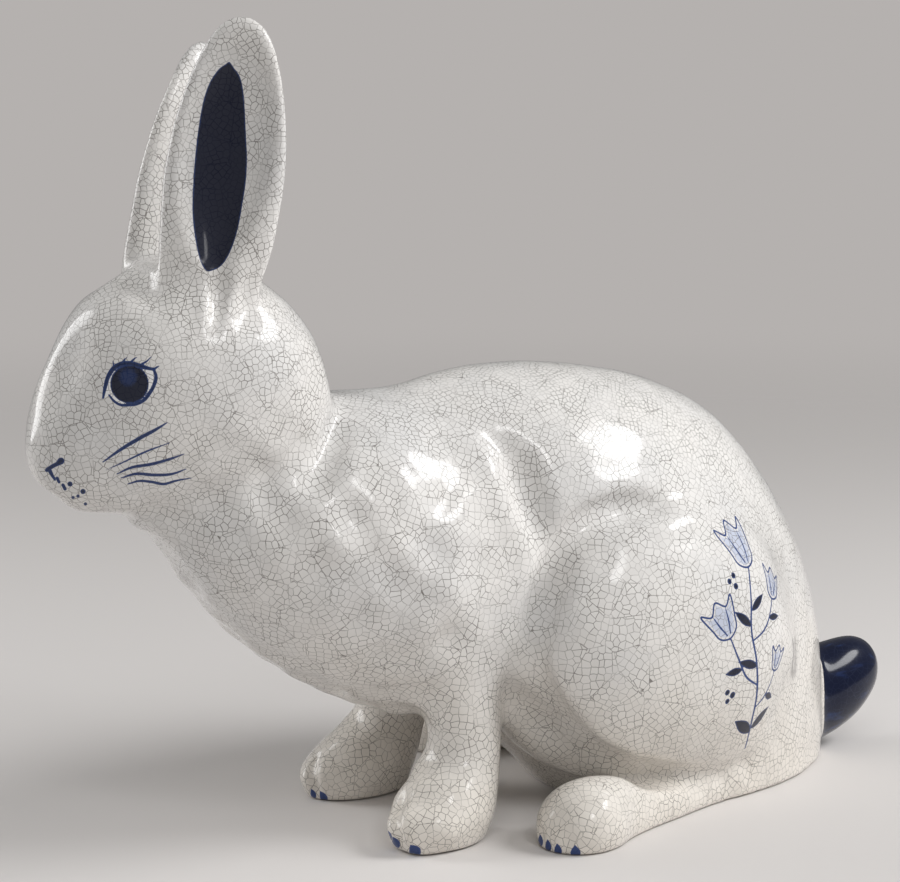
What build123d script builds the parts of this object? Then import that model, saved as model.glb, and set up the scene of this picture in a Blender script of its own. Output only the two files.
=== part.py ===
"""A large slip-cast earthenware rabbit, crouching, with a crackled glaze.

It faces -X and rests on z = 0, with its mid-plane on y = 0. Its castings are made apart and luted
together while the clay is leather-hard: a hollow body, a hollow head, two solid ears, two front
legs that are hollow above their paws, two solid hind feet and a hollow tail. Each smaller casting is
trimmed to the surface that carries it, so that they meet face to face, and each hollow one has an
air hole into the body.
"""

import os
from math import cos, radians, sin

from build123d import *

# Castings
wall = 6.0  # thickness of the drained shell
vent_diameter = 9.0  # air hole between two hollow castings
drain_diameter = 16.0  # hole under the body, where the slip is poured out
drain_share = 0.66  # its place along the hindquarters
neck_vent_share = 0.26  # the neck's air hole, along the forequarters
neck_vent_depth = 30.0  # from the level of the shoulders down
leg_vent_share = 0.50  # height where a leg's air hole starts
overrun = 8.0  # how far a hole runs past a wall

# Forequarters: chest, shoulders and the root of the neck
fore_front_x = -205.0
fore_length = 215.0
fore_height = 226.0  # top of the shoulders above the ground
fore_half_width = 78.0

# Hindquarters: back, belly and rump
hind_front_x = -92.0
hind_length = 302.0
hind_height = 235.0  # top of the back above the ground
hind_half_width = 86.0

# Haunches: the folded thighs
haunch_share = 0.49  # the thigh's centre along the hindquarters
haunch_rise = 90.0  # its centre above the ground
haunch_half_length = 87.0
haunch_top = 78.0  # from its centre up
haunch_bottom = 77.0  # from its centre down
haunch_root = 30.0  # where the thigh starts, out from the mid-plane
haunch_reach = 105.0  # its outermost point, out from the mid-plane

# Head, measured from the muzzle along its own axis
head_overhang = 52.0  # how far the muzzle stands ahead of the forequarters
muzzle_rise = 196.0
head_tilt = 20.6  # how far the nape stands above the muzzle, in degrees
head_length = 156.0
head_depth = 72.0  # from the axis to the brow
head_half_width = 57.0

# Ears
ear_length = 143.0  # from the hidden root to the tip
ear_width = 58.0
ear_back_depth = 13.0  # from the rim to the back of the ear
ear_front_depth = 8.0  # from the rim's widest line to its front
dish_depth = 14.0  # how deep the inner face is pressed, from the rim's front
dish_start = 24.0  # where it begins, up from the hidden root
rim_width = 6.0
ear_place_shares = (0.640, 0.605)  # left and right roots along the head's axis, from the muzzle
ear_sink = 28.0  # how far below the top of the head the root lies
ear_spread = 31.0  # each root from the mid-plane
ear_turn = 29.0  # how far each inner face turns forward, in degrees
ear_back_leans = (8.0, 15.5)  # left and right, in degrees
ear_out_leans = (2.0, 3.0)

# Front legs
leg_height = 112.0  # from the ground to inside the chest
leg_place_shares = (0.735, 0.765)  # left and right ankles along the forequarters
leg_spreads = (54.0, 43.0)  # left and right ankles from the mid-plane
leg_lean = 15.0  # how far the top of each leg leans in towards the mid-plane
leg_splays = (22.0, -4.0)  # how far each paw turns out, in degrees
paw_half_length = 34.0
paw_half_width = 23.0

# Hind feet
foot_lead = 84.0  # how far the toes stand ahead of the thigh's centre
foot_spread = 107.0  # the toes from the mid-plane
foot_length = 132.0  # from the toes to its heel, hidden inside the body
foot_height = 33.0
foot_half_width = 24.0
foot_splay = 19.0  # how far the toes turn out, in degrees
right_foot_back = 30.0  # the right foot is tucked further under

# Tail
tail_sink = 24.0  # how far inside the rump it starts
tail_rise = 22.0
tail_length = 74.0
tail_tilt = 14.0  # in degrees
tail_half_height = 27.0
tail_half_width = 23.0

# Each row: place along the mass, top and bottom as shares of its height, half width
fore_shares = (
    (0.06, 0.800, 0.690, 0.30),
    (0.15, 0.880, 0.570, 0.56),
    (0.26, 0.940, 0.450, 0.76),
    (0.38, 0.980, 0.360, 0.90),
    (0.52, 1.000, 0.290, 0.98),
    (0.66, 0.990, 0.240, 1.00),
    (0.80, 0.940, 0.250, 0.92),
    (0.92, 0.840, 0.330, 0.70),
)
fore_tip_shares = (0.745, 0.600)  # heights of the front and rear tips
hind_shares = (
    (0.04, 0.870, 0.400, 0.40),
    (0.12, 0.955, 0.290, 0.66),
    (0.24, 0.995, 0.190, 0.84),
    (0.37, 1.000, 0.060, 0.96),
    (0.50, 0.980, -0.140, 1.00),
    (0.62, 0.942, -0.360, 0.95),
    (0.74, 0.862, -0.450, 0.82),
    (0.84, 0.730, -0.430, 0.66),
    (0.92, 0.580, -0.350, 0.46),
    (0.975, 0.410, -0.200, 0.27),
)
hind_tip_shares = (0.640, 0.140)
head_shares = (
    (0.025, 0.25, -0.18, 0.23),
    (0.09, 0.47, -0.35, 0.42),
    (0.22, 0.76, -0.53, 0.65),
    (0.38, 0.96, -0.69, 0.86),
    (0.54, 1.02, -0.80, 0.98),
    (0.70, 0.97, -0.82, 1.00),
    (0.84, 0.78, -0.75, 0.88),
    (0.95, 0.45, -0.50, 0.60),
)
head_tip_shares = (0.03, 0.00)
tail_shares = (
    (0.00, 0.90, -0.90, 0.95),
    (0.25, 1.00, -0.92, 1.00),
    (0.50, 1.02, -0.86, 0.98),
    (0.72, 0.98, -0.66, 0.86),
    (0.88, 0.86, -0.36, 0.64),
    (0.965, 0.66, -0.06, 0.36),
)
tail_tip_share = 0.30

# Each slice of the thigh: place from its root to its outermost point, size
thigh_shares = ((0.00, 1.00), (0.40, 0.98), (0.68, 0.86), (0.86, 0.65), (0.96, 0.38))

# Each row: place along the ear, width, depth behind its rim, depth before it
ear_shares = (
    (0.00, 0.82, 1.20, 1.00),
    (0.14, 0.90, 1.15, 0.95),
    (0.28, 0.96, 1.08, 0.85),
    (0.42, 1.00, 1.00, 0.75),
    (0.57, 0.97, 0.92, 0.65),
    (0.71, 0.86, 0.80, 0.58),
    (0.84, 0.68, 0.66, 0.50),
    (0.94, 0.44, 0.44, 0.36),
)
# Each row: place along the dish, its size
dish_shares = (
    (0.08, 0.45),
    (0.22, 0.78),
    (0.38, 0.96),
    (0.54, 1.00),
    (0.70, 0.94),
    (0.84, 0.76),
    (0.94, 0.46),
)

# Each row: height up the leg, lead of its middle before the ankle as a share of the paw's half
# length, half length, half width
leg_shares = (
    (0.00, 0.62, 0.84, 0.82),
    (0.12, 0.62, 1.00, 1.00),
    (0.25, 0.36, 0.84, 0.95),
    (0.38, 0.05, 0.61, 0.83),
    (0.52, 0.00, 0.59, 0.84),
    (0.68, 0.03, 0.68, 0.90),
    (0.84, 0.12, 0.78, 0.96),
    (1.00, 0.22, 0.86, 1.00),
)
solid_paw_rows = 3  # the two skins of slip meet below this row, so the paw itself is solid

# Each row: place along the foot, height, half width
foot_shares = (
    (0.04, 0.62, 0.56),
    (0.14, 0.90, 0.90),
    (0.27, 1.00, 1.00),
    (0.41, 0.98, 0.92),
    (0.55, 0.94, 0.82),
    (0.70, 0.92, 0.74),
    (0.85, 0.86, 0.64),
    (1.00, 0.76, 0.52),
)
foot_sole_share = 0.35  # how far the rounded foot would reach below its flat sole
foot_waist_share = 0.30  # where it is widest
foot_tip_share = 0.30


def oval(plane, middle, right, left, up, down):
    """One cross-section, made of four quarter ellipses about its middle."""
    with BuildSketch(plane) as face:
        with BuildLine():
            EllipticalCenterArc(middle, right, up, 0, arc_size=90)
            EllipticalCenterArc(middle, left, up, 90, arc_size=90)
            EllipticalCenterArc(middle, left, down, 180, arc_size=90)
            EllipticalCenterArc(middle, right, down, 270, arc_size=90)
        make_face()
    return face.sketch


def mass(front, tilt, sizes, shares, tip_shares, inset=0.0):
    """Cross-sections of a rounded mass along its axis, which rises rearwards by tilt."""
    length, height, half_width = sizes
    axis = Vector(cos(radians(tilt)), 0, sin(radians(tilt)))
    upright = Vector(-sin(radians(tilt)), 0, cos(radians(tilt)))
    start = Vector(*front) + axis * inset
    reach = length - 2 * inset
    made = []
    for along, top, bottom, half in shares:
        plane = Plane(start + axis * (along * reach), x_dir=(0, 1, 0), z_dir=axis)
        middle = (top + bottom) / 2 * height
        tall = (top - bottom) / 2 * height - inset
        wide = half * half_width - inset
        made.append(oval(plane, (0, middle), wide, wide, tall, tall))
    front_tip, rear_tip = tip_shares
    if front_tip is not None:
        made.insert(0, Vertex(*(start + upright * (front_tip * height))))
    made.append(Vertex(*(start + axis * reach + upright * (rear_tip * height))))
    return made


def fore(inset=0.0):
    sizes = (fore_length, fore_height, fore_half_width)
    return mass((fore_front_x, 0, 0), 0, sizes, fore_shares, fore_tip_shares, inset)


def hind(inset=0.0):
    sizes = (hind_length, hind_height, hind_half_width)
    return mass((hind_front_x, 0, 0), 0, sizes, hind_shares, hind_tip_shares, inset)


def head(inset=0.0):
    sizes = (head_length, head_depth, head_half_width)
    return mass(muzzle, head_tilt, sizes, head_shares, head_tip_shares, inset)


def tail(inset=0.0):
    root = (rump_x - tail_sink, 0, tail_rise)
    sizes = (tail_length, tail_half_height, tail_half_width)
    return mass(root, tail_tilt, sizes, tail_shares, (None, tail_tip_share), inset)


def thigh(inset=0.0):
    """Upright slices of the left thigh, from inside the body to its outermost point."""
    reach = haunch_reach - haunch_root - inset
    middle = (haunch_x, haunch_rise)
    made = []
    for out, size in thigh_shares:
        plane = Plane.XZ.offset(haunch_root + out * reach)
        long_half = size * (haunch_half_length - inset)
        up, down = size * (haunch_top - inset), size * (haunch_bottom - inset)
        made.append(oval(plane, middle, long_half, long_half, up, down))
    made.append(Vertex(haunch_x, -haunch_root - reach, haunch_rise))
    return made


def leg(side, ankle_x, spread, splay, rows, inset=0.0):
    """Level slices of a front leg, from its sole up into the chest."""
    ahead = Vector(-cos(radians(splay)), side * sin(radians(splay)), 0)
    made = []
    for up, lead, long_share, wide_share in rows:
        out = spread - up**2 * leg_lean
        middle = Vector(ankle_x, side * out, up * leg_height) + ahead * (lead * paw_half_length)
        long_half = long_share * paw_half_length - inset
        wide_half = wide_share * paw_half_width - inset
        plane = Plane(middle, x_dir=ahead, z_dir=(0, 0, 1))
        made.append(oval(plane, (0, 0), long_half, long_half, wide_half, wide_half))
    return made


def foot(side, toe_x):
    """Slices of a hind foot, from its toes back under the thigh."""
    splay = radians(foot_splay)
    axis = Vector(cos(splay), -side * sin(splay), 0)
    across = Vector(side * sin(splay), cos(splay), 0)
    toe = Vector(toe_x, side * foot_spread, 0)
    made = [Vertex(*(toe + Vector(0, 0, foot_tip_share * foot_height)))]
    for along, top, half in foot_shares:
        plane = Plane(toe + axis * (along * foot_length), x_dir=across, z_dir=axis)
        middle = (0, foot_waist_share * foot_height)
        up = (top - foot_waist_share) * foot_height
        down = (foot_waist_share + foot_sole_share) * foot_height
        wide = half * foot_half_width
        made.append(oval(plane, middle, wide, wide, up, down))
    return made


def ear_plane(side, along, place_share, back_lean, out_lean):
    """The plane of an ear's slice: its y points out of the dish on the left ear."""
    place = Vector(place_share * head_length, head_depth - ear_sink).rotate(Axis.Z, head_tilt)
    root = Vector(muzzle[0] + place.X, side * ear_spread, muzzle[2] + place.Y)
    turned = radians(ear_turn)
    back, out = radians(back_lean), radians(out_lean)
    axis = Vector(sin(back), side * sin(out), cos(back) * cos(out))
    rim = Vector(-cos(turned), -side * sin(turned), 0)
    return Plane(root + axis * along, x_dir=rim, z_dir=axis)


def ear(side, pose):
    """Slices of an ear without its dish, from its root inside the head to its tip."""
    made = []
    for along, wide_share, behind_share, before_share in ear_shares:
        plane = ear_plane(side, along * ear_length, *pose)
        wide_half = wide_share * ear_width / 2
        depths = (before_share * ear_front_depth, behind_share * ear_back_depth)
        made.append(oval(plane, (0, 0), wide_half, wide_half, *depths[:: -side]))
    made.append(Vertex(*ear_plane(side, ear_length, *pose).origin))
    return made


def dish(side, pose):
    """Slices of the hollow that is pressed into an ear's inner face."""
    start = dish_start
    reach = ear_length - dish_start - rim_width
    middle = (0, -side * ear_front_depth)
    made = []
    for along, size in dish_shares:
        plane = ear_plane(side, start + along * reach, *pose)
        wide_half = size * (ear_width / 2 - rim_width)
        deep = size * dish_depth
        made.append(oval(plane, middle, wide_half, wide_half, deep, deep))
    ends = [ear_plane(side, start + along * reach, *pose) for along in (0, 1)]
    first, last = [Vertex(*plane.from_local_coords(middle)) for plane in ends]
    return [first, *made, last]


haunch_x = hind_front_x + haunch_share * hind_length
rump_x = hind_front_x + hind_length
ankles_x = [fore_front_x + share * fore_length for share in leg_place_shares]
muzzle = (fore_front_x - head_overhang, 0, muzzle_rise)

fore_faces, fore_space_faces = fore(), fore(wall)
hind_faces, hind_space_faces = hind(), hind(wall)
thigh_faces, thigh_space_faces = thigh(), thigh(wall)
head_faces, head_space_faces = head(), head(wall)
tail_faces, tail_space_faces = tail(), tail(wall)

with BuildPart() as outer_body:
    loft(fore_faces)
    loft(hind_faces)
    loft(thigh_faces)
    mirror(about=Plane.XZ)
    split(bisect_by=Plane.XY, keep=Keep.TOP)

with BuildPart() as body_space:
    loft(fore_space_faces)
    loft(hind_space_faces)
    loft(thigh_space_faces)
    mirror(about=Plane.XZ)
    split(bisect_by=Plane.XY.offset(wall), keep=Keep.TOP)

with BuildPart() as body:
    add(outer_body)
    add(body_space, mode=Mode.SUBTRACT)
    with BuildSketch():
        with Locations((hind_front_x + drain_share * hind_length, 0)):
            Circle(drain_diameter / 2)
    extrude(amount=wall + overrun, mode=Mode.SUBTRACT)
    with BuildSketch(Plane.XY.offset(fore_height)):
        with Locations((fore_front_x + neck_vent_share * fore_length, 0)):
            Circle(vent_diameter / 2)
    extrude(amount=-neck_vent_depth, mode=Mode.SUBTRACT)
    with BuildSketch(Plane.XY.offset(leg_vent_share * leg_height)):
        with Locations((ankles_x[0], -leg_spreads[0]), (ankles_x[1], leg_spreads[1])):
            Circle(vent_diameter / 2)
    extrude(amount=(1 - leg_vent_share) * leg_height, mode=Mode.SUBTRACT)
    with BuildSketch(Plane.YZ.offset(rump_x - tail_sink)):
        with Locations((0, tail_rise)):
            Circle(vent_diameter / 2)
    extrude(amount=tail_sink + overrun, mode=Mode.SUBTRACT)
body.part.label = "body"

with BuildPart() as head_casting:
    loft(head_faces)
    loft(head_space_faces, mode=Mode.SUBTRACT)
    add(outer_body, mode=Mode.SUBTRACT)
head_casting.part.label = "head"

with BuildPart() as tail_casting:
    loft(tail_faces)
    loft(tail_space_faces, mode=Mode.SUBTRACT)
    add(outer_body, mode=Mode.SUBTRACT)
    split(bisect_by=Plane.XY, keep=Keep.TOP)
tail_casting.part.label = "tail"

castings = [body, head_casting, tail_casting]
for which, (side, name) in enumerate(((-1, "left"), (1, "right"))):
    ear_pose = (ear_place_shares[which], ear_back_leans[which], ear_out_leans[which])
    ear_faces, dish_faces = ear(side, ear_pose), dish(side, ear_pose)
    stance = (side, ankles_x[which], leg_spreads[which], leg_splays[which])
    leg_faces = leg(*stance, leg_shares)
    leg_space_faces = leg(*stance, leg_shares[solid_paw_rows:], wall)
    foot_faces = foot(side, haunch_x - foot_lead + which * right_foot_back)

    with BuildPart() as ear_casting:
        loft(ear_faces)
        loft(dish_faces, mode=Mode.SUBTRACT)
        loft(head_faces, mode=Mode.SUBTRACT)
    ear_casting.part.label = f"{name}_ear"

    with BuildPart() as leg_casting:
        loft(leg_faces)
        loft(leg_space_faces, mode=Mode.SUBTRACT)
        add(outer_body, mode=Mode.SUBTRACT)
    leg_casting.part.label = f"{name}_front_leg"

    with BuildPart() as foot_casting:
        loft(foot_faces)
        split(bisect_by=Plane.XY, keep=Keep.TOP)
        add(outer_body, mode=Mode.SUBTRACT)
    foot_casting.part.label = f"{name}_hind_foot"
    castings += [ear_casting, leg_casting, foot_casting]

os.makedirs("parts", exist_ok=True)
for casting in castings:
    export_step(casting.part, f"parts/{casting.part.label}.step")
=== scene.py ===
import time

import bpy
import numpy as np
import openvdb
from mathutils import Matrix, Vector


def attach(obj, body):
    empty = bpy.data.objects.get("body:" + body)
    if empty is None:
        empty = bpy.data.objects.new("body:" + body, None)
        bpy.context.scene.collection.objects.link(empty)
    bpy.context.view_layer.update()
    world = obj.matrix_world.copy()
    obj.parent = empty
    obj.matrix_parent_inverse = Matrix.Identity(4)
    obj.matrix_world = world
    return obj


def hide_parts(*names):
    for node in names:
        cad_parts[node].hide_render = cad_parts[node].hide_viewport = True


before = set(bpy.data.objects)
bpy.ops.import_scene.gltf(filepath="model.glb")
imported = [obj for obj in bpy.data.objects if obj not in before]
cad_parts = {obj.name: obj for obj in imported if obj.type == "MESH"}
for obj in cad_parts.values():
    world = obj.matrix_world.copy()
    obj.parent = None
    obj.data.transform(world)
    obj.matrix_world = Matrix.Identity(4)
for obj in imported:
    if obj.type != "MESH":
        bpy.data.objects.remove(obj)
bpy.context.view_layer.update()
started = time.time()


def report(stage):
    print(f"{time.time() - started:6.1f} s  {stage}")


# Lengths are in millimetres, in the frame of the CAD part: it faces -X and its left side is -Y
mm = 0.001

# The photograph's camera, and its pixels
photo = {
    "width": 900, "height": 882, "focal": 2640.0,  # in pixels
    "position": (-693.0, -1202.0, 405.0), "target": (-60.3, -60.4, 206.0),
    "sensor": 36.0,  # in millimetres
    "clip": (0.05, 50.0),  # in metres
    "near": 950.0, "strides": 150, "stride": 0.8,  # for the walk along its rays to the clay
}
tiny = 1e-12  # keeps a quotient finite

# The space that the clay is worked out in
clay = {
    "low": (-272.0, -132.8, -8.0), "high": (272.0, 132.8, 424.0),
    "step": 1.6,  # between the points where the distance to the surface is kept
    "mesh": 2.8,  # between the corners of the surface, before it is made finer where it has to be
    "band": 24.0,  # how far from the surface it is known
    "rings": 120, "around": 240, "batches": 12,
    "flattest": 0.05,  # squared slope, below which a point moves less on its way to the surface
}
clayCount = tuple(round((b - a) / clay["step"]) + 1 for a, b in zip(clay["low"], clay["high"]))
clayFirst = tuple(round(a / clay["step"]) for a in clay["low"])


def unit(vector):
    return vector / np.linalg.norm(vector, axis=-1, keepdims=True)


def throughRows(rows, places):  # a smooth curve through rows of place, value, value ...
    rows = np.array(rows, float)
    at, values = rows[:, 0], rows[:, 1:]
    slopes = np.gradient(values, at, axis=0)
    low = np.clip(np.searchsorted(at, places, "right") - 1, 0, len(at) - 2)
    width = (at[low + 1] - at[low])[:, None]
    t = (places - at[low])[:, None] / width
    start = (1 + 2 * t) * (1 - t) ** 2 * values[low] + t * (1 - t) ** 2 * width * slopes[low]
    end = t * t * (3 - 2 * t) * values[low + 1] + t * t * (t - 1) * width * slopes[low + 1]
    return start + end


def tipSpacing(count):  # places from 0 to 1, closer together at both ends
    return (1 - np.cos(np.linspace(0, np.pi, count))) / 2


def fromSquares(values):  # sizes are drawn through as squares, so that the ends come out round
    return np.sqrt(np.maximum(values, 0))


def fadeBetween(values, start, stop):  # from 0 at the start to 1 at the stop
    share = np.clip((values - start) / (stop - start), 0, 1)
    return share * share * (3 - 2 * share)


def slices(middles, across, upward, wide, top, bottom):  # oval rings, closed at both ends
    turn = np.linspace(0, 2 * np.pi, clay["around"], endpoint=False)
    cosine, sine = np.cos(turn), np.sin(turn)
    sideways = wide[:, None] * cosine
    tall = np.where(sine > 0, top[:, None], bottom[:, None]) * sine
    rings = middles[:, None] + sideways[..., None] * across + tall[..., None] * upward
    count, around = rings.shape[:2]
    points = np.concatenate([rings.reshape(-1, 3), middles[:1], middles[-1:]])
    here = np.arange(around)
    after = (here + 1) % around
    quads = [np.stack([r * around + here, r * around + after, (r + 1) * around + after,
                       (r + 1) * around + here], 1) for r in range(count - 1)]
    first, last = count * around, count * around + 1
    caps = [np.stack([here, np.full(around, first), after], 1),
            np.stack([(count - 1) * around + here, (count - 1) * around + after, np.full(around, last)], 1)]
    return points, np.concatenate(caps), np.concatenate(quads)


def distanceTo(shape):  # of each point of the clay's space, negative inside
    points, triangles, quads = shape
    spacing = openvdb.createLinearTransform(voxelSize=clay["step"])
    grid = openvdb.FloatGrid.createLevelSetFromPolygons(
        points.astype(np.float32), triangles=triangles.astype(np.uint32), quads=quads.astype(np.uint32),
        transform=spacing, halfWidth=clay["band"] / clay["step"])
    field = np.empty(clayCount, np.float32)
    grid.copyToArray(field, ijk=clayFirst)
    return field


def meld(a, b, rounding):  # two masses as one, the clay drawn together over the joint
    near = np.maximum(rounding - np.abs(a - b), 0)
    return np.minimum(a, b) - near * near / (4 * rounding)


def carve(a, b, rounding):  # the second mass pressed out of the first
    return -meld(-a, b, rounding)


def sample(field, points):  # the field between its points
    q = (points - np.array(clay["low"])) / clay["step"]
    q = np.clip(q, 0, np.array(clayCount) - 1.001)  # inside the last cell
    i = q.astype(int)
    t = q - i
    i, j, k = i.T
    u, v, w = t.T
    total = 0
    for a, wa in ((0, 1 - u), (1, u)):
        for b, wb in ((0, 1 - v), (1, v)):
            for c, wc in ((0, 1 - w), (1, w)):
                total = total + field[i + a, j + b, k + c] * (wa * wb * wc)
    return total


def slopeAt(field, points):
    reach = clay["step"]
    shifts = np.eye(3) * reach
    return np.stack([sample(field, points + s) - sample(field, points - s) for s in shifts], 1) / (2 * reach)


def ontoSkin(field, points):  # one step towards the surface
    slope = slopeAt(field, points)
    steepness = np.maximum((slope ** 2).sum(1), clay["flattest"])
    return points - slope * (sample(field, points) / steepness)[:, None]


def photoAxes():
    eye, target = np.array(photo["position"]), np.array(photo["target"])
    ahead = unit(target - eye)
    right = unit(np.cross(ahead, (0, 0, 1)))
    return eye, ahead, right, np.cross(right, ahead)


def seenAt(field, pixels):  # where the photograph's rays meet the clay
    eye, ahead, right, up = photoAxes()
    pixels = np.array(pixels, float)
    rays = unit(ahead * photo["focal"] + np.outer(pixels[:, 0] - photo["width"] / 2, right)
                - np.outer(pixels[:, 1] - photo["height"] / 2, up))
    reach = np.full(len(rays), photo["near"])
    for _ in range(photo["strides"]):
        reach += photo["stride"] * sample(field, eye + rays * reach[:, None])
    return eye + rays * reach[:, None]


def brushPath(points, spacing):  # a smooth line through points, evenly divided
    points = np.array(points, float)
    reach = np.concatenate([[0], np.cumsum(np.linalg.norm(np.diff(points, axis=0), axis=1))])
    places = np.linspace(0, reach[-1], max(2, int(reach[-1] / spacing) + 1))
    return throughRows(np.column_stack([reach, points]), places)


def mirrored(points):
    return points * (1, -1, 1)


# The clay masses, with the castings' own sections: place, top, bottom and half width as shares. The tips
# are the heights where a mass ends, or None where it starts cut off flat
forequarters = {
    "front": (-205.0, 0.0, 0.0), "tilt": 0.0, "size": (215.0, 226.0, 78.0), "tips": (0.745, 0.600),
    "shares": (
        (0.06, 0.800, 0.690, 0.30), (0.15, 0.880, 0.570, 0.56), (0.26, 0.940, 0.450, 0.76),
        (0.38, 0.980, 0.360, 0.90), (0.52, 1.000, 0.290, 0.98), (0.66, 0.990, 0.240, 1.00),
        (0.80, 0.940, 0.250, 0.92), (0.92, 0.840, 0.330, 0.70),
    ),
}
hindquarters = {
    "front": (-92.0, 0.0, 0.0), "tilt": 0.0, "size": (302.0, 235.0, 86.0), "tips": (0.640, 0.140),
    "shares": (
        (0.04, 0.870, 0.400, 0.40), (0.12, 0.955, 0.290, 0.66), (0.24, 0.995, 0.190, 0.84),
        (0.37, 1.000, 0.060, 0.96), (0.50, 0.980, -0.140, 1.00), (0.62, 0.942, -0.360, 0.95),
        (0.74, 0.862, -0.450, 0.82), (0.84, 0.730, -0.430, 0.66), (0.92, 0.580, -0.350, 0.46),
        (0.975, 0.410, -0.200, 0.27),
    ),
}
headMass = {
    "front": (-257.0, 0.0, 196.0), "tilt": 20.6, "size": (156.0, 72.0, 57.0), "tips": (0.03, 0.00),
    "shares": (
        (0.025, 0.25, -0.18, 0.23), (0.09, 0.47, -0.35, 0.42), (0.22, 0.76, -0.53, 0.65),
        (0.38, 0.96, -0.69, 0.86), (0.54, 1.02, -0.80, 0.98), (0.70, 0.97, -0.82, 1.00),
        (0.84, 0.78, -0.75, 0.88), (0.95, 0.45, -0.50, 0.60),
    ),
}
tailMass = {
    "front": (186.0, 0.0, 22.0), "tilt": 14.0, "size": (74.0, 27.0, 23.0), "tips": (None, 0.30),
    "shares": (
        (0.00, 0.90, -0.90, 0.95), (0.25, 1.00, -0.92, 1.00), (0.50, 1.02, -0.86, 0.98),
        (0.72, 0.98, -0.66, 0.86), (0.88, 0.86, -0.36, 0.64), (0.965, 0.66, -0.06, 0.36),
    ),
}


def alongAxis(mass):  # slices of a mass along its axis
    length, height, halfWidth = mass["size"]
    tilt = np.radians(mass["tilt"])
    axis = np.array((np.cos(tilt), 0, np.sin(tilt)))
    upright = np.array((-np.sin(tilt), 0, np.cos(tilt)))
    rows = [(p, (t + b) / 2, ((t - b) / 2) ** 2, w ** 2) for p, t, b, w in mass["shares"]]
    frontTip, rearTip = mass["tips"]
    if frontTip is not None:
        rows.insert(0, (0, frontTip, 0, 0))
    rows.append((1, rearTip, 0, 0))
    places = tipSpacing(clay["rings"])
    middle, tall, wide = throughRows(rows, places).T
    tall, wide = fromSquares(tall) * height, fromSquares(wide) * halfWidth
    middles = np.array(mass["front"]) + np.outer(places * length, axis) + np.outer(middle * height, upright)
    return slices(middles, (0.0, 1.0, 0.0), upright, wide, tall, tall)


haunch = {
    "centre": (56.0, 90.0), "halfLength": 87.0, "up": 78.0, "down": 77.0, "root": 30.0, "reach": 105.0,
    "shares": ((0.00, 1.00), (0.40, 0.98), (0.68, 0.86), (0.86, 0.65), (0.96, 0.38)),  # place, size
    "blend": (26.0, 116.0),  # where its joint to the trunk grows softer, towards the rear
}


def haunchSlices():  # the left thigh, from inside the body out
    places = tipSpacing(clay["rings"])
    rows = [(p, s ** 2) for p, s in haunch["shares"]] + [(1, 0)]
    size = fromSquares(throughRows(rows, places)[:, 0])
    x, z = haunch["centre"]
    out = haunch["root"] + places * (haunch["reach"] - haunch["root"])
    middles = np.stack([np.full_like(out, x), -out, np.full_like(out, z)], 1)
    top, bottom = size * haunch["up"], size * haunch["down"]
    return slices(middles, (1.0, 0.0, 0.0), (0.0, 0.0, 1.0), size * haunch["halfLength"], top, bottom)


frontLegs = {
    "height": 112.0, "lean": 15.0, "halfLength": 34.0, "halfWidth": 23.0,
    "ankles": (-47.0, -40.5), "spreads": (54.0, 43.0), "splays": (22.0, -4.0),  # left, right
    "shares": (  # place, how far ahead, half length, half width
        (0.00, 0.62, 0.84, 0.82), (0.12, 0.62, 1.00, 1.00), (0.25, 0.36, 0.84, 0.95),
        (0.38, 0.04, 0.62, 0.83), (0.52, -0.08, 0.67, 0.84), (0.68, -0.08, 0.79, 0.90),
        (0.84, 0.01, 0.89, 0.96), (1.00, 0.11, 0.97, 1.00),
    ),
}


def legSlices(which):  # a front leg, from its sole up
    side, splay = (-1, 1)[which], np.radians(frontLegs["splays"][which])
    ahead = np.array((-np.cos(splay), side * np.sin(splay), 0))
    sideways = np.array((-ahead[1], ahead[0], 0))
    places = np.linspace(0, 1, clay["rings"])
    lead, long, wide = throughRows(frontLegs["shares"], places).T
    out = side * (frontLegs["spreads"][which] - places ** 2 * frontLegs["lean"])
    middles = np.stack([np.full_like(out, frontLegs["ankles"][which]), out, places * frontLegs["height"]], 1)
    middles += np.outer(lead * frontLegs["halfLength"], ahead)
    long, wide = long * frontLegs["halfLength"], wide * frontLegs["halfWidth"]
    return slices(middles, ahead, sideways, long, wide, wide)


hindFeet = {
    "toes": (-28.0, 2.0), "spread": 107.0, "length": 132.0, "height": 33.0, "halfWidth": 24.0,
    "splay": 19.0, "sole": 0.35, "waist": 0.30, "tip": 0.30,
    "thinned": 0.5,  # share of the half width, below which the sole rises as well
    "shares": (  # place, top, half width
        (0.04, 0.62, 0.58), (0.13, 0.92, 0.92), (0.22, 1.00, 0.94), (0.32, 0.99, 0.78),
        (0.44, 0.90, 0.64), (0.60, 0.76, 0.58), (0.80, 0.64, 0.52), (1.00, 0.54, 0.46),
    ),
}


def footSlices(which):  # a hind foot, from its toes back
    side, splay = (-1, 1)[which], np.radians(hindFeet["splay"])
    height, halfWidth = hindFeet["height"], hindFeet["halfWidth"]
    axis = np.array((np.cos(splay), -side * np.sin(splay), 0))
    across = np.array((side * np.sin(splay), np.cos(splay), 0))
    rows = [(0, hindFeet["tip"], 0)] + [(p, t, w ** 2) for p, t, w in hindFeet["shares"]]
    places = tipSpacing(clay["rings"])
    top, wide = throughRows(rows, places).T
    wide = fromSquares(wide) * halfWidth
    waist = hindFeet["waist"] * height
    tall = np.maximum(top * height - waist, 0)
    below = np.minimum(1, wide / (hindFeet["thinned"] * halfWidth)) * (waist + hindFeet["sole"] * height)
    middles = np.array((hindFeet["toes"][which], side * hindFeet["spread"], waist))
    middles = middles + np.outer(places * hindFeet["length"], axis)
    return slices(middles, across, (0.0, 0.0, 1.0), wide, tall, below)


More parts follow.
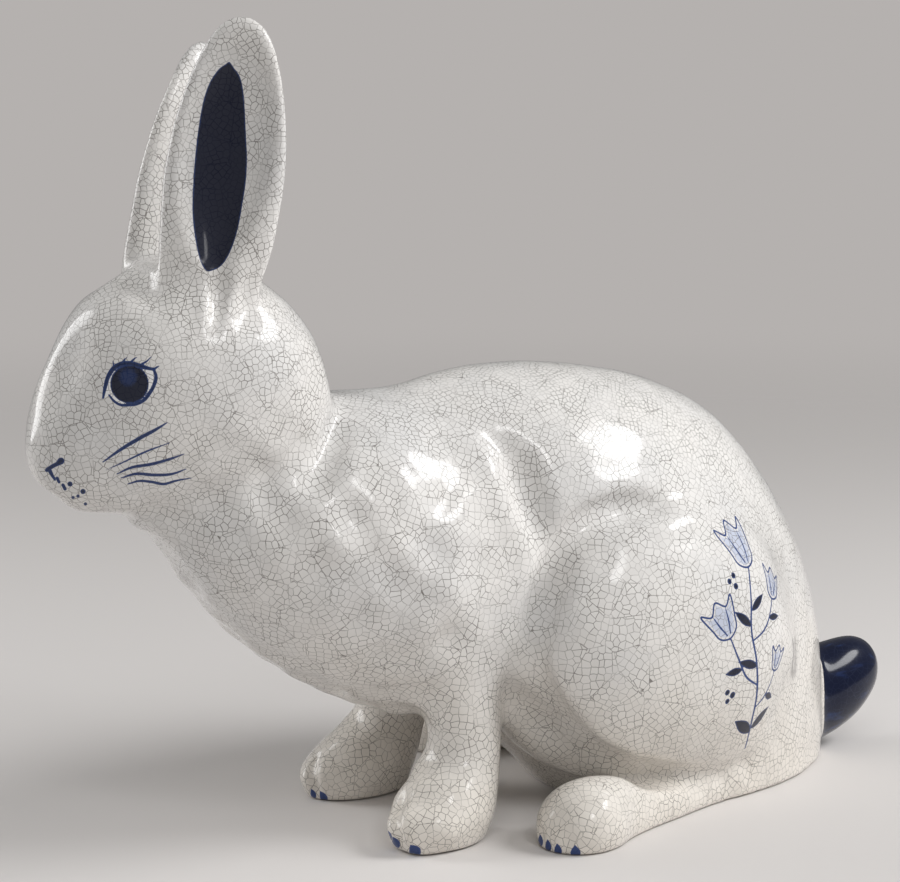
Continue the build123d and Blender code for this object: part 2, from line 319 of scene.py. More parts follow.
ears = {
    "lengths": (147.0, 140.0), "width": 59.0, "behind": 13.0, "before": 8.0, "spread": 31.0,
    "sink": 28.0, "turn": 29.0, "places": (0.640, 0.605), "backLeans": (8.0, 15.5), "outLeans": (2.0, 3.0),
    "dishDepth": 14.0, "dishStart": 24.0, "rim": 6.0,
    "shares": (  # place, width, depth behind, depth before
        (0.00, 0.82, 1.20, 1.00), (0.14, 0.90, 1.15, 0.95), (0.28, 0.96, 1.08, 0.85),
        (0.42, 1.00, 1.00, 0.75), (0.57, 0.97, 0.92, 0.65), (0.71, 0.86, 0.80, 0.58),
        (0.84, 0.68, 0.66, 0.50), (0.94, 0.44, 0.44, 0.36),
    ),
    "dish": (  # place, size
        (0.08, 0.45), (0.22, 0.78), (0.38, 0.96), (0.54, 1.00), (0.70, 0.94), (0.84, 0.76),
        (0.94, 0.46),
    ),
}


def earFrame(which):  # an ear's root, its axis, the way across its rim and the way out of its dish
    side = (-1, 1)[which]
    tilt = np.radians(headMass["tilt"])
    along = ears["places"][which] * headMass["size"][0]
    lift = headMass["size"][1] - ears["sink"]
    rise = (along * np.cos(tilt) - lift * np.sin(tilt), 0, along * np.sin(tilt) + lift * np.cos(tilt))
    root = np.array(headMass["front"]) + rise
    root[1] = side * ears["spread"]
    turn = np.radians(ears["turn"])
    back, out = np.radians(ears["backLeans"][which]), np.radians(ears["outLeans"][which])
    axis = unit(np.array((np.sin(back), side * np.sin(out), np.cos(back) * np.cos(out))))
    rim = np.array((-np.cos(turn), -side * np.sin(turn), 0))
    rim = unit(rim - axis * (rim @ axis))
    return root, axis, rim, -side * np.cross(axis, rim)


def earSlices(which):
    root, axis, rim, outward = earFrame(which)
    places = tipSpacing(clay["rings"])
    rows = [(p, w ** 2, b, f) for p, w, b, f in ears["shares"]] + [(1, 0, 0, 0)]
    wide, behind, before = throughRows(rows, places).T
    wide = fromSquares(wide) * ears["width"] / 2
    middles = root + np.outer(places * ears["lengths"][which], axis)
    return slices(middles, rim, outward, wide, before * ears["before"], behind * ears["behind"])


def dishSlices(which):  # what is pressed out of an ear's inner face
    root, axis, rim, outward = earFrame(which)
    places = tipSpacing(clay["rings"])
    rows = [(0, 0)] + [(p, s ** 2) for p, s in ears["dish"]] + [(1, 0)]
    size = fromSquares(throughRows(rows, places)[:, 0])
    reach = ears["lengths"][which] - ears["dishStart"] - ears["rim"]
    wide = size * (ears["width"] / 2 - ears["rim"])
    middles = root + outward * ears["before"] + np.outer(ears["dishStart"] + places * reach, axis)
    deep = size * ears["dishDepth"]
    return slices(middles, rim, outward, wide, deep, deep)


# How far the clay is drawn together over each luted joint, and rounded along each edge
joints = {
    "neck": 12.0, "back": 13.0, "haunchFront": 5.0, "haunchRear": 26.0, "leg": 14.0, "foot": 6.0,
    "ear": 7.0, "dish": 4.0, "base": 1.5, "tail": 5.0, "drain": 1.0,
}

# Clay: every mass becomes a field of distances, and the fields run into one another
x, y, z = np.meshgrid(*[np.arange(n) * clay["step"] + a for n, a in zip(clayCount, clay["low"])],
                      indexing="ij", sparse=True)
trunk = meld(distanceTo(alongAxis(forequarters)), distanceTo(alongAxis(hindquarters)), joints["back"])
leftHaunch = distanceTo(haunchSlices())
toRear = fadeBetween(x, *haunch["blend"])
drawn = joints["haunchFront"] + (joints["haunchRear"] - joints["haunchFront"]) * toRear
drawn = drawn.astype(np.float32)
bodyField = meld(meld(trunk, leftHaunch, drawn), leftHaunch[:, ::-1], drawn)
headField = distanceTo(alongAxis(headMass))
tailField = distanceTo(alongAxis(tailMass))
legFields = [distanceTo(legSlices(which)) for which in (0, 1)]
footFields = [distanceTo(footSlices(which)) for which in (0, 1)]
earFields = [carve(distanceTo(earSlices(which)), distanceTo(dishSlices(which)), joints["dish"])
             for which in (0, 1)]
report("distances")

skin = meld(bodyField, headField, joints["neck"])
for fields, joint in ((legFields, "leg"), (footFields, "foot"), (earFields, "ear"), ([tailField], "tail")):
    for field in fields:
        skin = meld(skin, field, joints[joint])
report("masses run together")

# Tool and finger marks, as lines of photo pixels, with their width and depth: a ridge has a negative
# depth, sink moves the line in under the skin, and a mark alone has no twin on the far side
toolMarks = (
    {"line": ((456, 424), (478, 442), (497, 462), (508, 486), (514, 510), (520, 536), (527, 562), (533, 588)),
     "width": 11.0, "depth": -3.0},  # rolled edge behind the shoulder
    {"line": ((488, 434), (505, 449), (518, 468), (527, 490), (535, 516), (544, 548)),
     "width": 9.0, "depth": 11.0, "sink": 2.0},
    {"line": ((505, 420), (530, 446), (552, 482), (564, 512)), "width": 26.0, "depth": 2.0},
    {"line": ((440, 436), (446, 474), (447, 516)), "width": 16.0, "depth": 4.5},  # on the shoulder
    {"line": ((388, 440), (396, 470), (408, 505)), "width": 9.0, "depth": -2.2},
    {"line": ((566, 534), (578, 519), (591, 506), (607, 497), (628, 491), (658, 488)),
     "width": 8.0, "depth": -2.6},  # fold over the thigh
    {"line": ((552, 568), (562, 548), (575, 533), (591, 520), (610, 511), (634, 506), (664, 504)),
     "width": 8.0, "depth": 12.0, "sink": 3.0},
    {"line": ((612, 552), (628, 537), (641, 527), (662, 523), (687, 520), (712, 524)),
     "width": 9.0, "depth": -2.4},
    {"line": ((564, 548), (556, 568), (548, 590), (539, 614), (533, 640), (531, 662)),
     "width": 8.5, "depth": 14.0, "sink": 4.0},
    {"line": ((530, 585), (517, 615), (508, 650), (504, 690)), "width": 12.0, "depth": -4.5},
    {"line": ((530, 650), (533, 675), (541, 698), (554, 720), (572, 742), (599, 761), (634, 771), (676, 776)),
     "width": 8.0, "depth": 12.0, "sink": 3.0},  # under the thigh
    {"line": ((514, 690), (522, 712), (536, 733), (556, 752), (580, 766)),
     "width": 14.0, "depth": 28.0, "sink": 8.0},
    {"line": ((640, 772), (680, 776), (716, 773), (745, 764), (764, 754)), "width": 7.0, "depth": 2.6},
    {"line": ((782, 625), (789, 660), (788, 698)), "width": 12.0, "depth": -3.0},  # behind the haunch
    {"line": ((690, 774), (696, 794)), "width": 4.0, "depth": 2.4},  # pleats over the base
    {"line": ((721, 770), (726, 790)), "width": 4.0, "depth": 2.4},
    {"line": ((747, 762), (752, 780)), "width": 4.0, "depth": 2.2},
    {"line": ((80, 338), (68, 368), (60, 404)), "width": 9.0, "depth": 5.5, "sink": 1.0},  # before the eye
    {"line": ((84, 412), (100, 426), (122, 433)), "width": 8.0, "depth": 4.2},
    {"line": ((132, 352), (160, 362), (170, 388)), "width": 9.0, "depth": -1.6},
    {"line": ((112, 291), (130, 281), (148, 292), (160, 306)),
     "width": 7.5, "depth": 8.0, "sink": 1.5},  # between the ears
    {"line": ((262, 268), (252, 296), (240, 326)), "width": 8.0, "depth": 6.0},
    {"line": ((330, 408), (322, 430), (310, 458), (302, 480)), "width": 6.0, "depth": -2.2},  # neck fold
    {"line": ((339, 414), (333, 438), (321, 466), (314, 488)), "width": 7.0, "depth": 8.0, "sink": 1.5},
    {"line": ((262, 470), (264, 492), (268, 512)), "width": 7.0, "depth": 4.0},
    {"line": ((62, 405), (58, 450)), "width": 5.0, "depth": -1.2},  # muzzle
    {"line": ((67, 432), (69, 458)), "width": 3.5, "depth": 1.6},
    {"line": ((68, 442), (64, 458), (54, 465)), "width": 1.6, "depth": 1.2},
    {"line": ((50, 469), (57, 480), (66, 499)), "width": 1.8, "depth": 1.3},
    {"line": ((222, 262), (219, 290), (214, 335)), "width": 3.5, "depth": 3.6},  # foot of the ear
    {"line": ((203, 285), (207, 320), (208, 332)), "width": 4.0, "depth": -1.8},
    {"line": ((240, 262), (234, 300), (226, 332)), "width": 5.0, "depth": -1.8},
    {"line": ((416, 708), (427, 722), (442, 736)), "width": 3.0, "depth": 1.8},  # over the front paw
)
toeGrooves = (
    {"line": ((404, 790), (398, 805), (395, 820), (397, 835), (401, 849)),
     "width": 2.8, "depth": 6.5, "sink": 1.2, "alone": True},
    {"line": ((320, 752), (312, 765), (311, 776), (315, 789), (318, 795)),
     "width": 2.6, "depth": 6.0, "sink": 1.2, "alone": True},
    {"line": ((544, 826), (543, 845)), "width": 2.2, "depth": 2.8},
    {"line": ((553, 832), (552, 850)), "width": 2.2, "depth": 2.8},
    {"line": ((567, 834), (566, 852)), "width": 2.6, "depth": 2.8},
)
markShape = {
    "spacing": 2.0,  # between the points of a mark
    "reach": 2.4, "fading": 3.5,  # in widths of the mark
    "ends": 0.15,  # share of the depth that is left there
}
handWork = {  # soft unevenness: wavelengths in millimetres, stronger towards the chest, weaker on the ears
    "waves": ((41, 37, 47), (33, 51, 36), (54, 32, 41), (29, 39, 31)), "phases": (1.7, 2.3, 0.9),
    "height": 0.14, "chest": 4.5, "chestX": (-40.0, -90.0), "chestZ": (235.0, 205.0),
    "ears": 0.5, "earZ": (300.0, 240.0),
}
fingerDents = {
    "width": 9.0, "depth": 2.1, "risenShare": 0.6,
    "hollows": ((350, 519), (441, 503), (430, 551), (358, 616), (313, 484), (317, 569), (392, 585),
                (478, 560), (452, 640), (395, 655), (285, 530)),
    "risen": ((338, 545), (410, 515), (392, 545), (330, 595), (372, 470), (455, 590), (425, 620)),
}


def cellsRound(lowest, highest, reach, first, last):  # the clay's cells within reach of a place
    low = np.floor((lowest - reach - clay["low"]) / clay["step"]).astype(int)
    high = np.ceil((highest + reach - clay["low"]) / clay["step"]).astype(int) + 1
    return np.maximum(low, first), np.minimum(high, last)


def pressAlong(field, line, width, depth):  # a soft groove that fades out at its ends
    reach = markShape["reach"] * width
    low, high = cellsRound(line.min(0), line.max(0), reach, 0, clayCount)
    pressed = np.zeros(high - low, np.float32)
    ends = np.minimum(np.arange(len(line)), np.arange(len(line))[::-1]) * markShape["spacing"]
    fading = np.minimum(1, markShape["ends"] + ends / (markShape["fading"] * width))
    if len(line) == 1:  # a finger dent has no ends
        fading = np.ones(1)
    for spot, share in zip(line, fading):
        first, last = cellsRound(spot, spot, reach, low, high)
        across = [np.arange(a, b) * clay["step"] + c - s
                  for a, b, c, s in zip(first, last, clay["low"], spot)]
        u, v, w = np.meshgrid(*across, indexing="ij", sparse=True)
        part = pressed[tuple(slice(a - l, b - l) for a, b, l in zip(first, last, low))]
        np.maximum(part, share * np.exp(-(u * u + v * v + w * w) / width ** 2), out=part)
    field[tuple(slice(a, b) for a, b in zip(low, high))] += depth * pressed


def soften(field):
    for axis in (0, 1, 2):
        inner = [slice(None)] * 3
        before, after = list(inner), list(inner)
        inner[axis], before[axis], after[axis] = slice(1, -1), slice(None, -2), slice(2, None)
        field[tuple(inner)] = (2 * field[tuple(inner)] + field[tuple(before)] + field[tuple(after)]) / 4


soften(skin)
marks, toeLines = [], []
for mark in toolMarks + toeGrooves:
    line = brushPath(seenAt(skin, mark["line"]), markShape["spacing"])
    line = line - mark.get("sink", 0.0) * unit(slopeAt(skin, line))
    if mark in toeGrooves:
        toeLines.extend([line, mirrored(line)])
    marks.append((line, mark["width"], mark["depth"]))
    if not mark.get("alone"):
        marks.append((mirrored(line), mark["width"], mark["depth"]))
for kind, share in (("hollows", 1), ("risen", -fingerDents["risenShare"])):
    for spot in seenAt(skin, fingerDents[kind]):
        for place in (spot[None], mirrored(spot[None])):
            marks.append((place, fingerDents["width"], share * fingerDents["depth"]))
for line, width, depth in marks:
    pressAlong(skin, line, width, depth)

uneven = np.zeros_like(skin)
for number, wave in enumerate(handWork["waves"]):
    u, v, w = (2 * np.pi * way / length + phase * number
               for way, length, phase in zip((x, y, z), wave, handWork["phases"]))
    uneven += (np.sin(u) * np.sin(w)).astype(np.float32) * np.cos(v).astype(np.float32)
chest = fadeBetween(x, *handWork["chestX"]) * fadeBetween(z, *handWork["chestZ"])
uneven *= (handWork["height"] * (1 + (handWork["chest"] - 1) * chest)).astype(np.float32)
belowEars = handWork["ears"] + (1 - handWork["ears"]) * fadeBetween(z, *handWork["earZ"])
skin += uneven * belowEars.astype(np.float32)
report("tool marks")

drainHole = {"place": (107.3, 0.0), "radius": 8.0, "depth": 10.0}
fromHole = np.hypot(x - drainHole["place"][0], y - drainHole["place"][1]) - drainHole["radius"]
skin = carve(skin, z.astype(np.float32) + np.zeros_like(skin), joints["base"])  # flat where it stands
skin = carve(skin, np.maximum(fromHole, z - drainHole["depth"]).astype(np.float32), joints["drain"])
soften(skin)
report("skin ready")


def surfaceOf(field):
    step = clay["mesh"]
    known = 3 * step  # all that the mesher needs on either side of the surface
    counts = [int((b - a) / step) for a, b in zip(clay["low"], clay["high"])]
    first = [int(np.ceil(a / step)) for a in clay["low"]]
    spots = np.stack(np.meshgrid(*[(np.arange(n) + f) * step for n, f in zip(counts, first)],
                                 indexing="ij"), -1).reshape(-1, 3)
    coarse = np.concatenate([sample(field, part) for part in np.array_split(spots, clay["batches"])])
    grid = openvdb.FloatGrid(known)
    grid.transform = openvdb.createLinearTransform(voxelSize=step)
    coarse = np.clip(coarse, -known, known).reshape(counts).astype(np.float32)
    grid.copyFromArray(coarse, ijk=tuple(first))
    points, triangles, quads = grid.convertToPolygons(isovalue=0, adaptivity=0)
    quads = quads.astype(np.int64)
    halves = np.concatenate([quads[:, [0, 1, 2]], quads[:, [0, 2, 3]]])
    faces = np.concatenate([triangles.astype(np.int64), halves])
    return points.astype(float), faces


points, faces = surfaceOf(skin)
a, b, c = points[faces[:, 0]], points[faces[:, 1]], points[faces[:, 2]]
if np.einsum("ij,ij->i", a, np.cross(b, c)).sum() < 0:
    faces = faces[:, ::-1]
report(f"surface: {len(points)} points, {len(faces)} triangles")


def edgesOf(faces):
    pairs = np.sort(np.concatenate([faces[:, [0, 1]], faces[:, [1, 2]], faces[:, [2, 0]]]), axis=1)
    size = faces.max() + 1
    keys, which = np.unique(pairs[:, 0] * size + pairs[:, 1], return_inverse=True)
    return np.stack([keys // size, keys % size], 1), which.reshape(3, -1).T


def relax(field, points, faces, rounds=3, pull=0.6):  # points even out along the skin
    edges = edgesOf(faces)[0]
    start, stop = edges.T
    count = np.bincount(edges.ravel(), minlength=len(points))
    for _ in range(rounds):
        total = np.stack([np.bincount(start, points[stop, n], len(points))
                          + np.bincount(stop, points[start, n], len(points)) for n in range(3)], 1)
        points = ontoSkin(field, points + pull * (total / count[:, None] - points))
    return points


points = relax(skin, points, faces)
points[:, 2] = np.maximum(points[:, 2], 0)
report("surface relaxed")


def divide(faces, size, edges, which, chosen):  # faces with a new point on every chosen edge
    added = np.full(len(edges), -1)
    added[chosen] = size + np.arange(chosen.sum())
    middle = added[which]
    count = (middle >= 0).sum(1)
    made = [faces[count == 0]]
    for n in (1, 2, 3):
        face, mid = faces[count == n], middle[count == n]
        turn = np.argmax(mid >= 0, axis=1) if n == 1 else (np.argmin(mid, axis=1) + 1) % 3
        order = (turn[:, None] + np.arange(3)) % 3
        a, b, c = np.take_along_axis(face, order, 1).T
        ab, bc, ca = np.take_along_axis(mid, order, 1).T
        if n == 1:
            pieces = ((a, ab, c), (ab, b, c))
        elif n == 2:
            pieces = ((ab, b, bc), (a, ab, bc), (a, bc, c))
        else:
            pieces = ((a, ab, ca), (ab, b, bc), (ca, bc, c), (ab, bc, ca))
        made += [np.stack(piece, 1) for piece in pieces]
    return np.concatenate(made)


fine = {
    "cut": 0.15,  # a point this near the edge of a casting lies on it
    "rounds": 3, "edge": 0.76, "reach": 0.8,  # finer triangles along painted edges
    "small": 1.9,  # and all over the smaller castings
    "toes": 5.0, "toeEdge": 1.1,  # and round the toe grooves
    "still": 0.5,  # below this height nothing is moved onto the skin
}

# Castings: the surface is cut where two of them are equally near
castings = {"body": bodyField, "head": headField, "tail": tailField}
for which, side in enumerate(("left", "right")):
    castings[f"{side}_ear"] = earFields[which]
    castings[f"{side}_front_leg"] = legFields[which]
    castings[f"{side}_hind_foot"] = footFields[which]
names = list(castings)
nearness = np.stack([sample(field, points) for field in castings.values()], 1)
for number in range(1, len(names)):
    others = np.delete(nearness, number, 1).min(1)
    level = nearness[:, number] - others
    level[np.abs(level) < fine["cut"]] = 0
    edges, which = edgesOf(faces)
    start, stop = edges.T
    chosen = level[start] * level[stop] < 0
    share = (level[start] / (level[start] - level[stop] + tiny))[chosen, None]
    faces = divide(faces, len(points), edges, which, chosen)
    start, stop = start[chosen], stop[chosen]
    points = np.concatenate([points, points[start] * (1 - share) + points[stop] * share])
    nearness = np.concatenate([nearness, nearness[start] * (1 - share) + nearness[stop] * share])
owner = nearness.argmin(1)
report("castings parted")

# Brushwork, as photo pixels: strokes are rows of place and width, dots have a place and a radius, and
# fills are closed outlines
faceStrokes = {
    "upperLid": ((103, 398, 2.2), (105, 388, 3.8), (109, 375, 4.4), (114, 368, 4.8), (122, 364, 5.4),
                 (131, 364, 5.6), (140, 366, 4.8), (147, 368, 3.8), (153, 369, 2.8), (159, 366, 1.2)),
    "lowerLid": ((154, 370, 2.8), (156, 377, 3.6), (154, 385, 3.8), (149, 394, 3.8), (144, 400, 3.6),
                 (136, 404, 3.4), (128, 405, 3.2), (121, 405, 2.8), (114, 401, 2.4), (109, 395, 2.0)),
    "frontLash": ((114, 368, 2.2), (113, 361, 1.0)),
    "secondLash": ((121, 365, 2.4), (124, 360, 1.8), (127, 357, 1.0)),
    "thirdLash": ((130, 363, 2.4), (134, 359, 1.8), (137, 357, 1.0)),
    "rearLash": ((142, 364, 2.4), (147, 361, 1.8), (151, 357, 1.0)),
    "firstWhisker": ((103, 462, 1.4), (120, 450, 3.2), (140, 438, 3.9), (155, 430, 3.2), (168, 422, 1.0)),
    "secondWhisker": ((106, 470, 0.8), (119.5, 464, 1.4), (145, 452, 2.0), (169, 443, 1.0)),
    "thirdWhisker": ((117, 474, 1.2), (130, 468, 2.6), (152, 464, 3.2), (170, 459, 2.6), (184, 454, 1.0)),
    "fourthWhisker": ((121, 478, 1.2), (135, 474, 2.8), (155, 475, 3.2), (172, 474, 2.6), (186, 469, 1.0)),
    "fifthWhisker": ((128, 484, 1.2), (139, 481, 2.4), (152, 482, 2.8), (164, 484, 2.8), (175, 481, 2.2),
                     (191, 478, 1.0)),
    "nose": ((61, 461, 7.0), (57, 464, 4.4), (53, 466, 4.2), (47, 470, 4.2)),
    "lip": ((50, 471, 4.0), (52, 475, 3.4), (55, 480, 2.0)),
    "upperDots": ((57, 478, 3.0), (59, 482, 3.0)),
    "lowerDots": ((63, 485, 3.4), (65, 489, 3.4)),
}
faceDots = ((70, 484, 2.6), (83, 491.5, 2.7), (73, 497.5, 1.7), (78, 496, 1.7), (85.5, 504, 1.7))
eyeOutline = (
    (103, 398), (106, 386), (109, 375), (114, 368), (122, 364), (131, 364), (140, 366), (147, 368),
    (154, 370), (156, 377), (154, 385), (149, 394), (144, 400), (136, 404), (128, 405), (121, 405),
    (114, 401), (109, 396),
)
iris = (129.5, 384.0, 19.2)
glint = (128.0, 377.0, 11.0)  # where the blue shows in the middle of the eye
earPatch = (
    (229.5, 62), (234, 68), (240, 77), (243.5, 93), (245, 114), (246, 136), (247, 158), (246, 180),
    (242.5, 204), (238, 228), (231, 250), (222, 265), (211, 271), (205.5, 270), (200, 260), (195, 237.5),
    (192.5, 213), (193, 186), (195, 158), (198.5, 128), (203, 102.5), (209, 84), (218, 70), (226, 64),
)
claws = {  # tip, width, length, lean
    "left_front_leg": ((391, 841, 6, 13, -24), (399, 848, 7, 13, -30), (419, 857, 12, 15, -36)),
    "right_front_leg": ((315, 799, 5.5, 11, -20), (327, 803, 7, 14, -30)),
    "left_hind_foot": ((541, 847, 5, 13, -4), (549, 853, 6, 14, -6), (559, 857, 7.5, 14, -8),
                       (576, 859, 10, 14, -4)),
}
shades = {  # how much cobalt a brush carries, from 0, thin, to 1
    "face": 0.6, "faceDots": 0.7, "iris": 1.0, "ears": 1.0, "claws": 0.15,
    "stems": 0.35, "bells": 0.4, "bellRibs": 0.3, "leaves": 0.9, "berries": 0.8,
}
brush = {
    "spacing": 0.6,  # between the points of a stroke
    "margin": 8.0,  # how far round a stroke its distance is worked out
    "far": 1e3, "unpainted": 9.0,  # distances that stand for no paint near by
    "pastMiddle": 12.0,  # how far the face of one side reaches over the middle
    "turnedAway": -0.1,  # how far the skin may turn from the spray's middle
}
leafShape = ((0.0, 0.02), (0.12, 0.28), (0.3, 0.46), (0.5, 0.5), (0.72, 0.36), (0.9, 0.14), (1.0, 0.01))


def toPixels(points):  # and the millimetres in one pixel there
    eye, ahead, right, up = photoAxes()
    seen = points - eye
    depth = seen @ ahead
    pixels = np.stack([photo["width"] / 2 + photo["focal"] * (seen @ right) / depth,
                       photo["height"] / 2 - photo["focal"] * (seen @ up) / depth], 1)
    return pixels, depth / photo["focal"]


def facing(points, normals):
    return np.einsum("ij,ij->i", np.array(photo["position"]) - points, normals) > 0


def roundOutline(outline, steps=6):  # a smooth closed line through the outline's points
    b = np.array(outline, float)
    a, c, d = np.roll(b, 1, 0), np.roll(b, -1, 0), np.roll(b, -2, 0)
    t = np.arange(steps)[:, None, None] / steps
    bend, twist = 2 * a - 5 * b + 4 * c - d, 3 * b - a - 3 * c + d
    curve = (2 * b + (c - a) * t + bend * t ** 2 + twist * t ** 3) / 2
    return curve.transpose(1, 0, 2).reshape(-1, 2)


def nearTo(spots, line):  # the spots that are worth measuring
    margin = brush["margin"]
    return np.flatnonzero(((spots > line.min(0) - margin) & (spots < line.max(0) + margin)).all(1))


def strokeDistance(spots, rows):
    line = brushPath(rows, brush["spacing"])
    nearest = np.full(len(spots), brush["far"])
    near = nearTo(spots, line[:, :2])
    if len(near):
        gaps = np.linalg.norm(spots[near, None] - line[None, :, :2], axis=2) - line[:, 2] / 2
        nearest[near] = gaps.min(1)
    return nearest


def dotDistance(spots, dot):
    u, v, radius = dot
    return np.hypot(*(spots - (u, v)).T) - radius


def fillDistance(spots, outline):  # negative inside
    outline = roundOutline(outline)
    signed = np.full(len(spots), brush["far"])
    near = nearTo(spots, outline)
    p = spots[near]
    nearest, inside = np.full(len(near), np.inf), np.zeros(len(near), bool)
    for a, b in zip(outline, np.roll(outline, -1, 0)):
        side = b - a
        share = np.clip(((p - a) @ side) / max(side @ side, tiny), 0, 1)
        nearest = np.minimum(nearest, ((p - a - share[:, None] * side) ** 2).sum(1))
        crossed = (a[1] > p[:, 1]) != (b[1] > p[:, 1])
        at = a[0] + (p[:, 1] - a[1]) * side[0] / (side[1] if side[1] else tiny)
        inside ^= crossed & (p[:, 0] < at)
    signed[near] = np.sqrt(nearest) * np.where(inside, -1, 1)
    return signed


class Brushwork:  # signed distances, in millimetres, to the nearest edge of each kind of paint
    def __init__(self, size):
        for name in ("ink", "wash", "white", "blue"):
            setattr(self, name, np.full(size, brush["unpainted"]))
        self.shade = np.ones(size)

    def lay(self, channel, which, distances, shade=1.0):
        values = getattr(self, channel)
        nearer = distances < values[which]
        where = np.flatnonzero(which)[nearer]
        values[where] = distances[nearer]
        if channel == "ink":
            self.shade[where] = shade


def paintFace(work, which, pixels, scale):
    for rows in faceStrokes.values():
        work.lay("ink", which, strokeDistance(pixels, rows) * scale, shades["face"])
    for dot in faceDots:
        work.lay("ink", which, dotDistance(pixels, dot) * scale, shades["faceDots"])
    outline = fillDistance(pixels, eyeOutline)
    irisGap = np.maximum(dotDistance(pixels, iris), outline)
    work.lay("ink", which, irisGap * scale, shades["iris"])
    work.lay("white", which, outline * scale)
    work.lay("blue", which, dotDistance(pixels, glint) * scale)


def turned(points, at, angle, size=1.0):
    angle = np.radians(angle)
    points = np.array(points, float) * size
    return np.stack([at[0] + points[:, 0] * np.cos(angle) - points[:, 1] * np.sin(angle),
                     at[1] + points[:, 0] * np.sin(angle) + points[:, 1] * np.cos(angle)], 1)


def leafOutline(at, angle, length, width):
    places, half = np.array(leafShape).T
    half = half * width
    edge = np.concatenate([np.stack([-half, places * length], 1), np.stack([half, places * length], 1)[::-1]])
    return turned(edge, at, angle)


# A made-up spray of bell flowers on each haunch, in millimetres about the middle of the spray: each row
# starts with its place, and the angles turn it from upright
spray = {
    "middle": (757, 640),  # photo pixel
    "reach": 80.0,
    "stems": (  # width
        ((10, -62, 1.1), (6, -46, 1.5), (4, -30, 1.6), (0, -12, 1.5), (-4, 5, 1.4), (-2, 24, 1.2),
         (2, 38, 1.0)),
        ((3, -25, 1.0), (-8, -18, 1.3), (-14, -8, 1.2), (-20, 4, 1.0)),
        ((-3, 0, 1.0), (6, 4, 1.2), (13, 11, 1.1), (18, 19, 0.9)),
        ((5, -38, 1.0), (12, -33, 1.2), (17, -26, 1.0), (19, -20, 0.9)),
    ),
    "bells": ((2, 38, 8, 23), (-20, 4, 24, 20), (18, 19, -30, 16), (19, -20, -14, 13)),  # angle, size
    "leaves": (  # angle, length, width
        (8, -52, 62, 20, 6.5), (7, -50, -58, 18, 6.0), (1, -14, 74, 16, 5.0), (-4, 8, 52, 15, 5.0),
        (-3, 16, -60, 14, 4.6), (-11, -14, 95, 12, 4.2), (12, 10, -95, 11, 3.8), (13, -32, -110, 11, 4.0),
    ),
    "berries": (  # radius
        (-12, 30, 1.7), (-16, 33, 1.5), (-12, 35.5, 1.6), (-16, -27, 1.8), (-20, -25, 1.6), (-19, -30, 1.5),
    ),
    "bellOutline": (
        (0.0, 0.0), (-0.30, 0.14), (-0.42, 0.45), (-0.58, 0.98), (-0.28, 0.80), (0.0, 1.06),
        (0.28, 0.80), (0.58, 0.98), (0.42, 0.45), (0.30, 0.14),
    ),
    "bellRibs": (((-0.06, 0.12), (-0.17, 0.45), (-0.24, 0.76)), ((0.06, 0.12), (0.17, 0.45), (0.24, 0.76))),
    "ribWidths": (0.9, 1.1, 0.7), "edge": 0.5, "washInset": 1.2,
}


def paintSpray(work, which, spots):
    for rows in spray["stems"]:
        work.lay("ink", which, strokeDistance(spots, rows), shades["stems"])
    for across, up, angle, size in spray["bells"]:
        outline = turned(spray["bellOutline"], (across, up), angle, size)
        distance = fillDistance(spots, outline)
        work.lay("ink", which, np.abs(distance) - spray["edge"], shades["bells"])
        work.lay("wash", which, distance + spray["washInset"])
        for rib in spray["bellRibs"]:
            rows = np.column_stack([turned(rib, (across, up), angle, size), spray["ribWidths"]])
            work.lay("ink", which, strokeDistance(spots, rows), shades["bellRibs"])
    for across, up, angle, length, width in spray["leaves"]:
        leaf = leafOutline((across, up), angle, length, width)
        work.lay("ink", which, fillDistance(spots, leaf), shades["leaves"])
    for berry in spray["berries"]:
        work.lay("ink", which, dotDistance(spots, berry), shades["berries"])


sprayMiddle = seenAt(skin, [spray["middle"]])
sprayOut = unit(slopeAt(skin, sprayMiddle))[0]
sprayUp = unit(np.array((0, 0, 1.0)) - sprayOut * sprayOut[2])
sprayAcross = np.cross(sprayUp, sprayOut)
leftRoot, leftAxis, leftRim = earFrame(0)[:3]
patchPoints = seenAt(skin, earPatch) - leftRoot
patchOutline = np.stack([patchPoints @ leftRim, patchPoints @ leftAxis], 1)


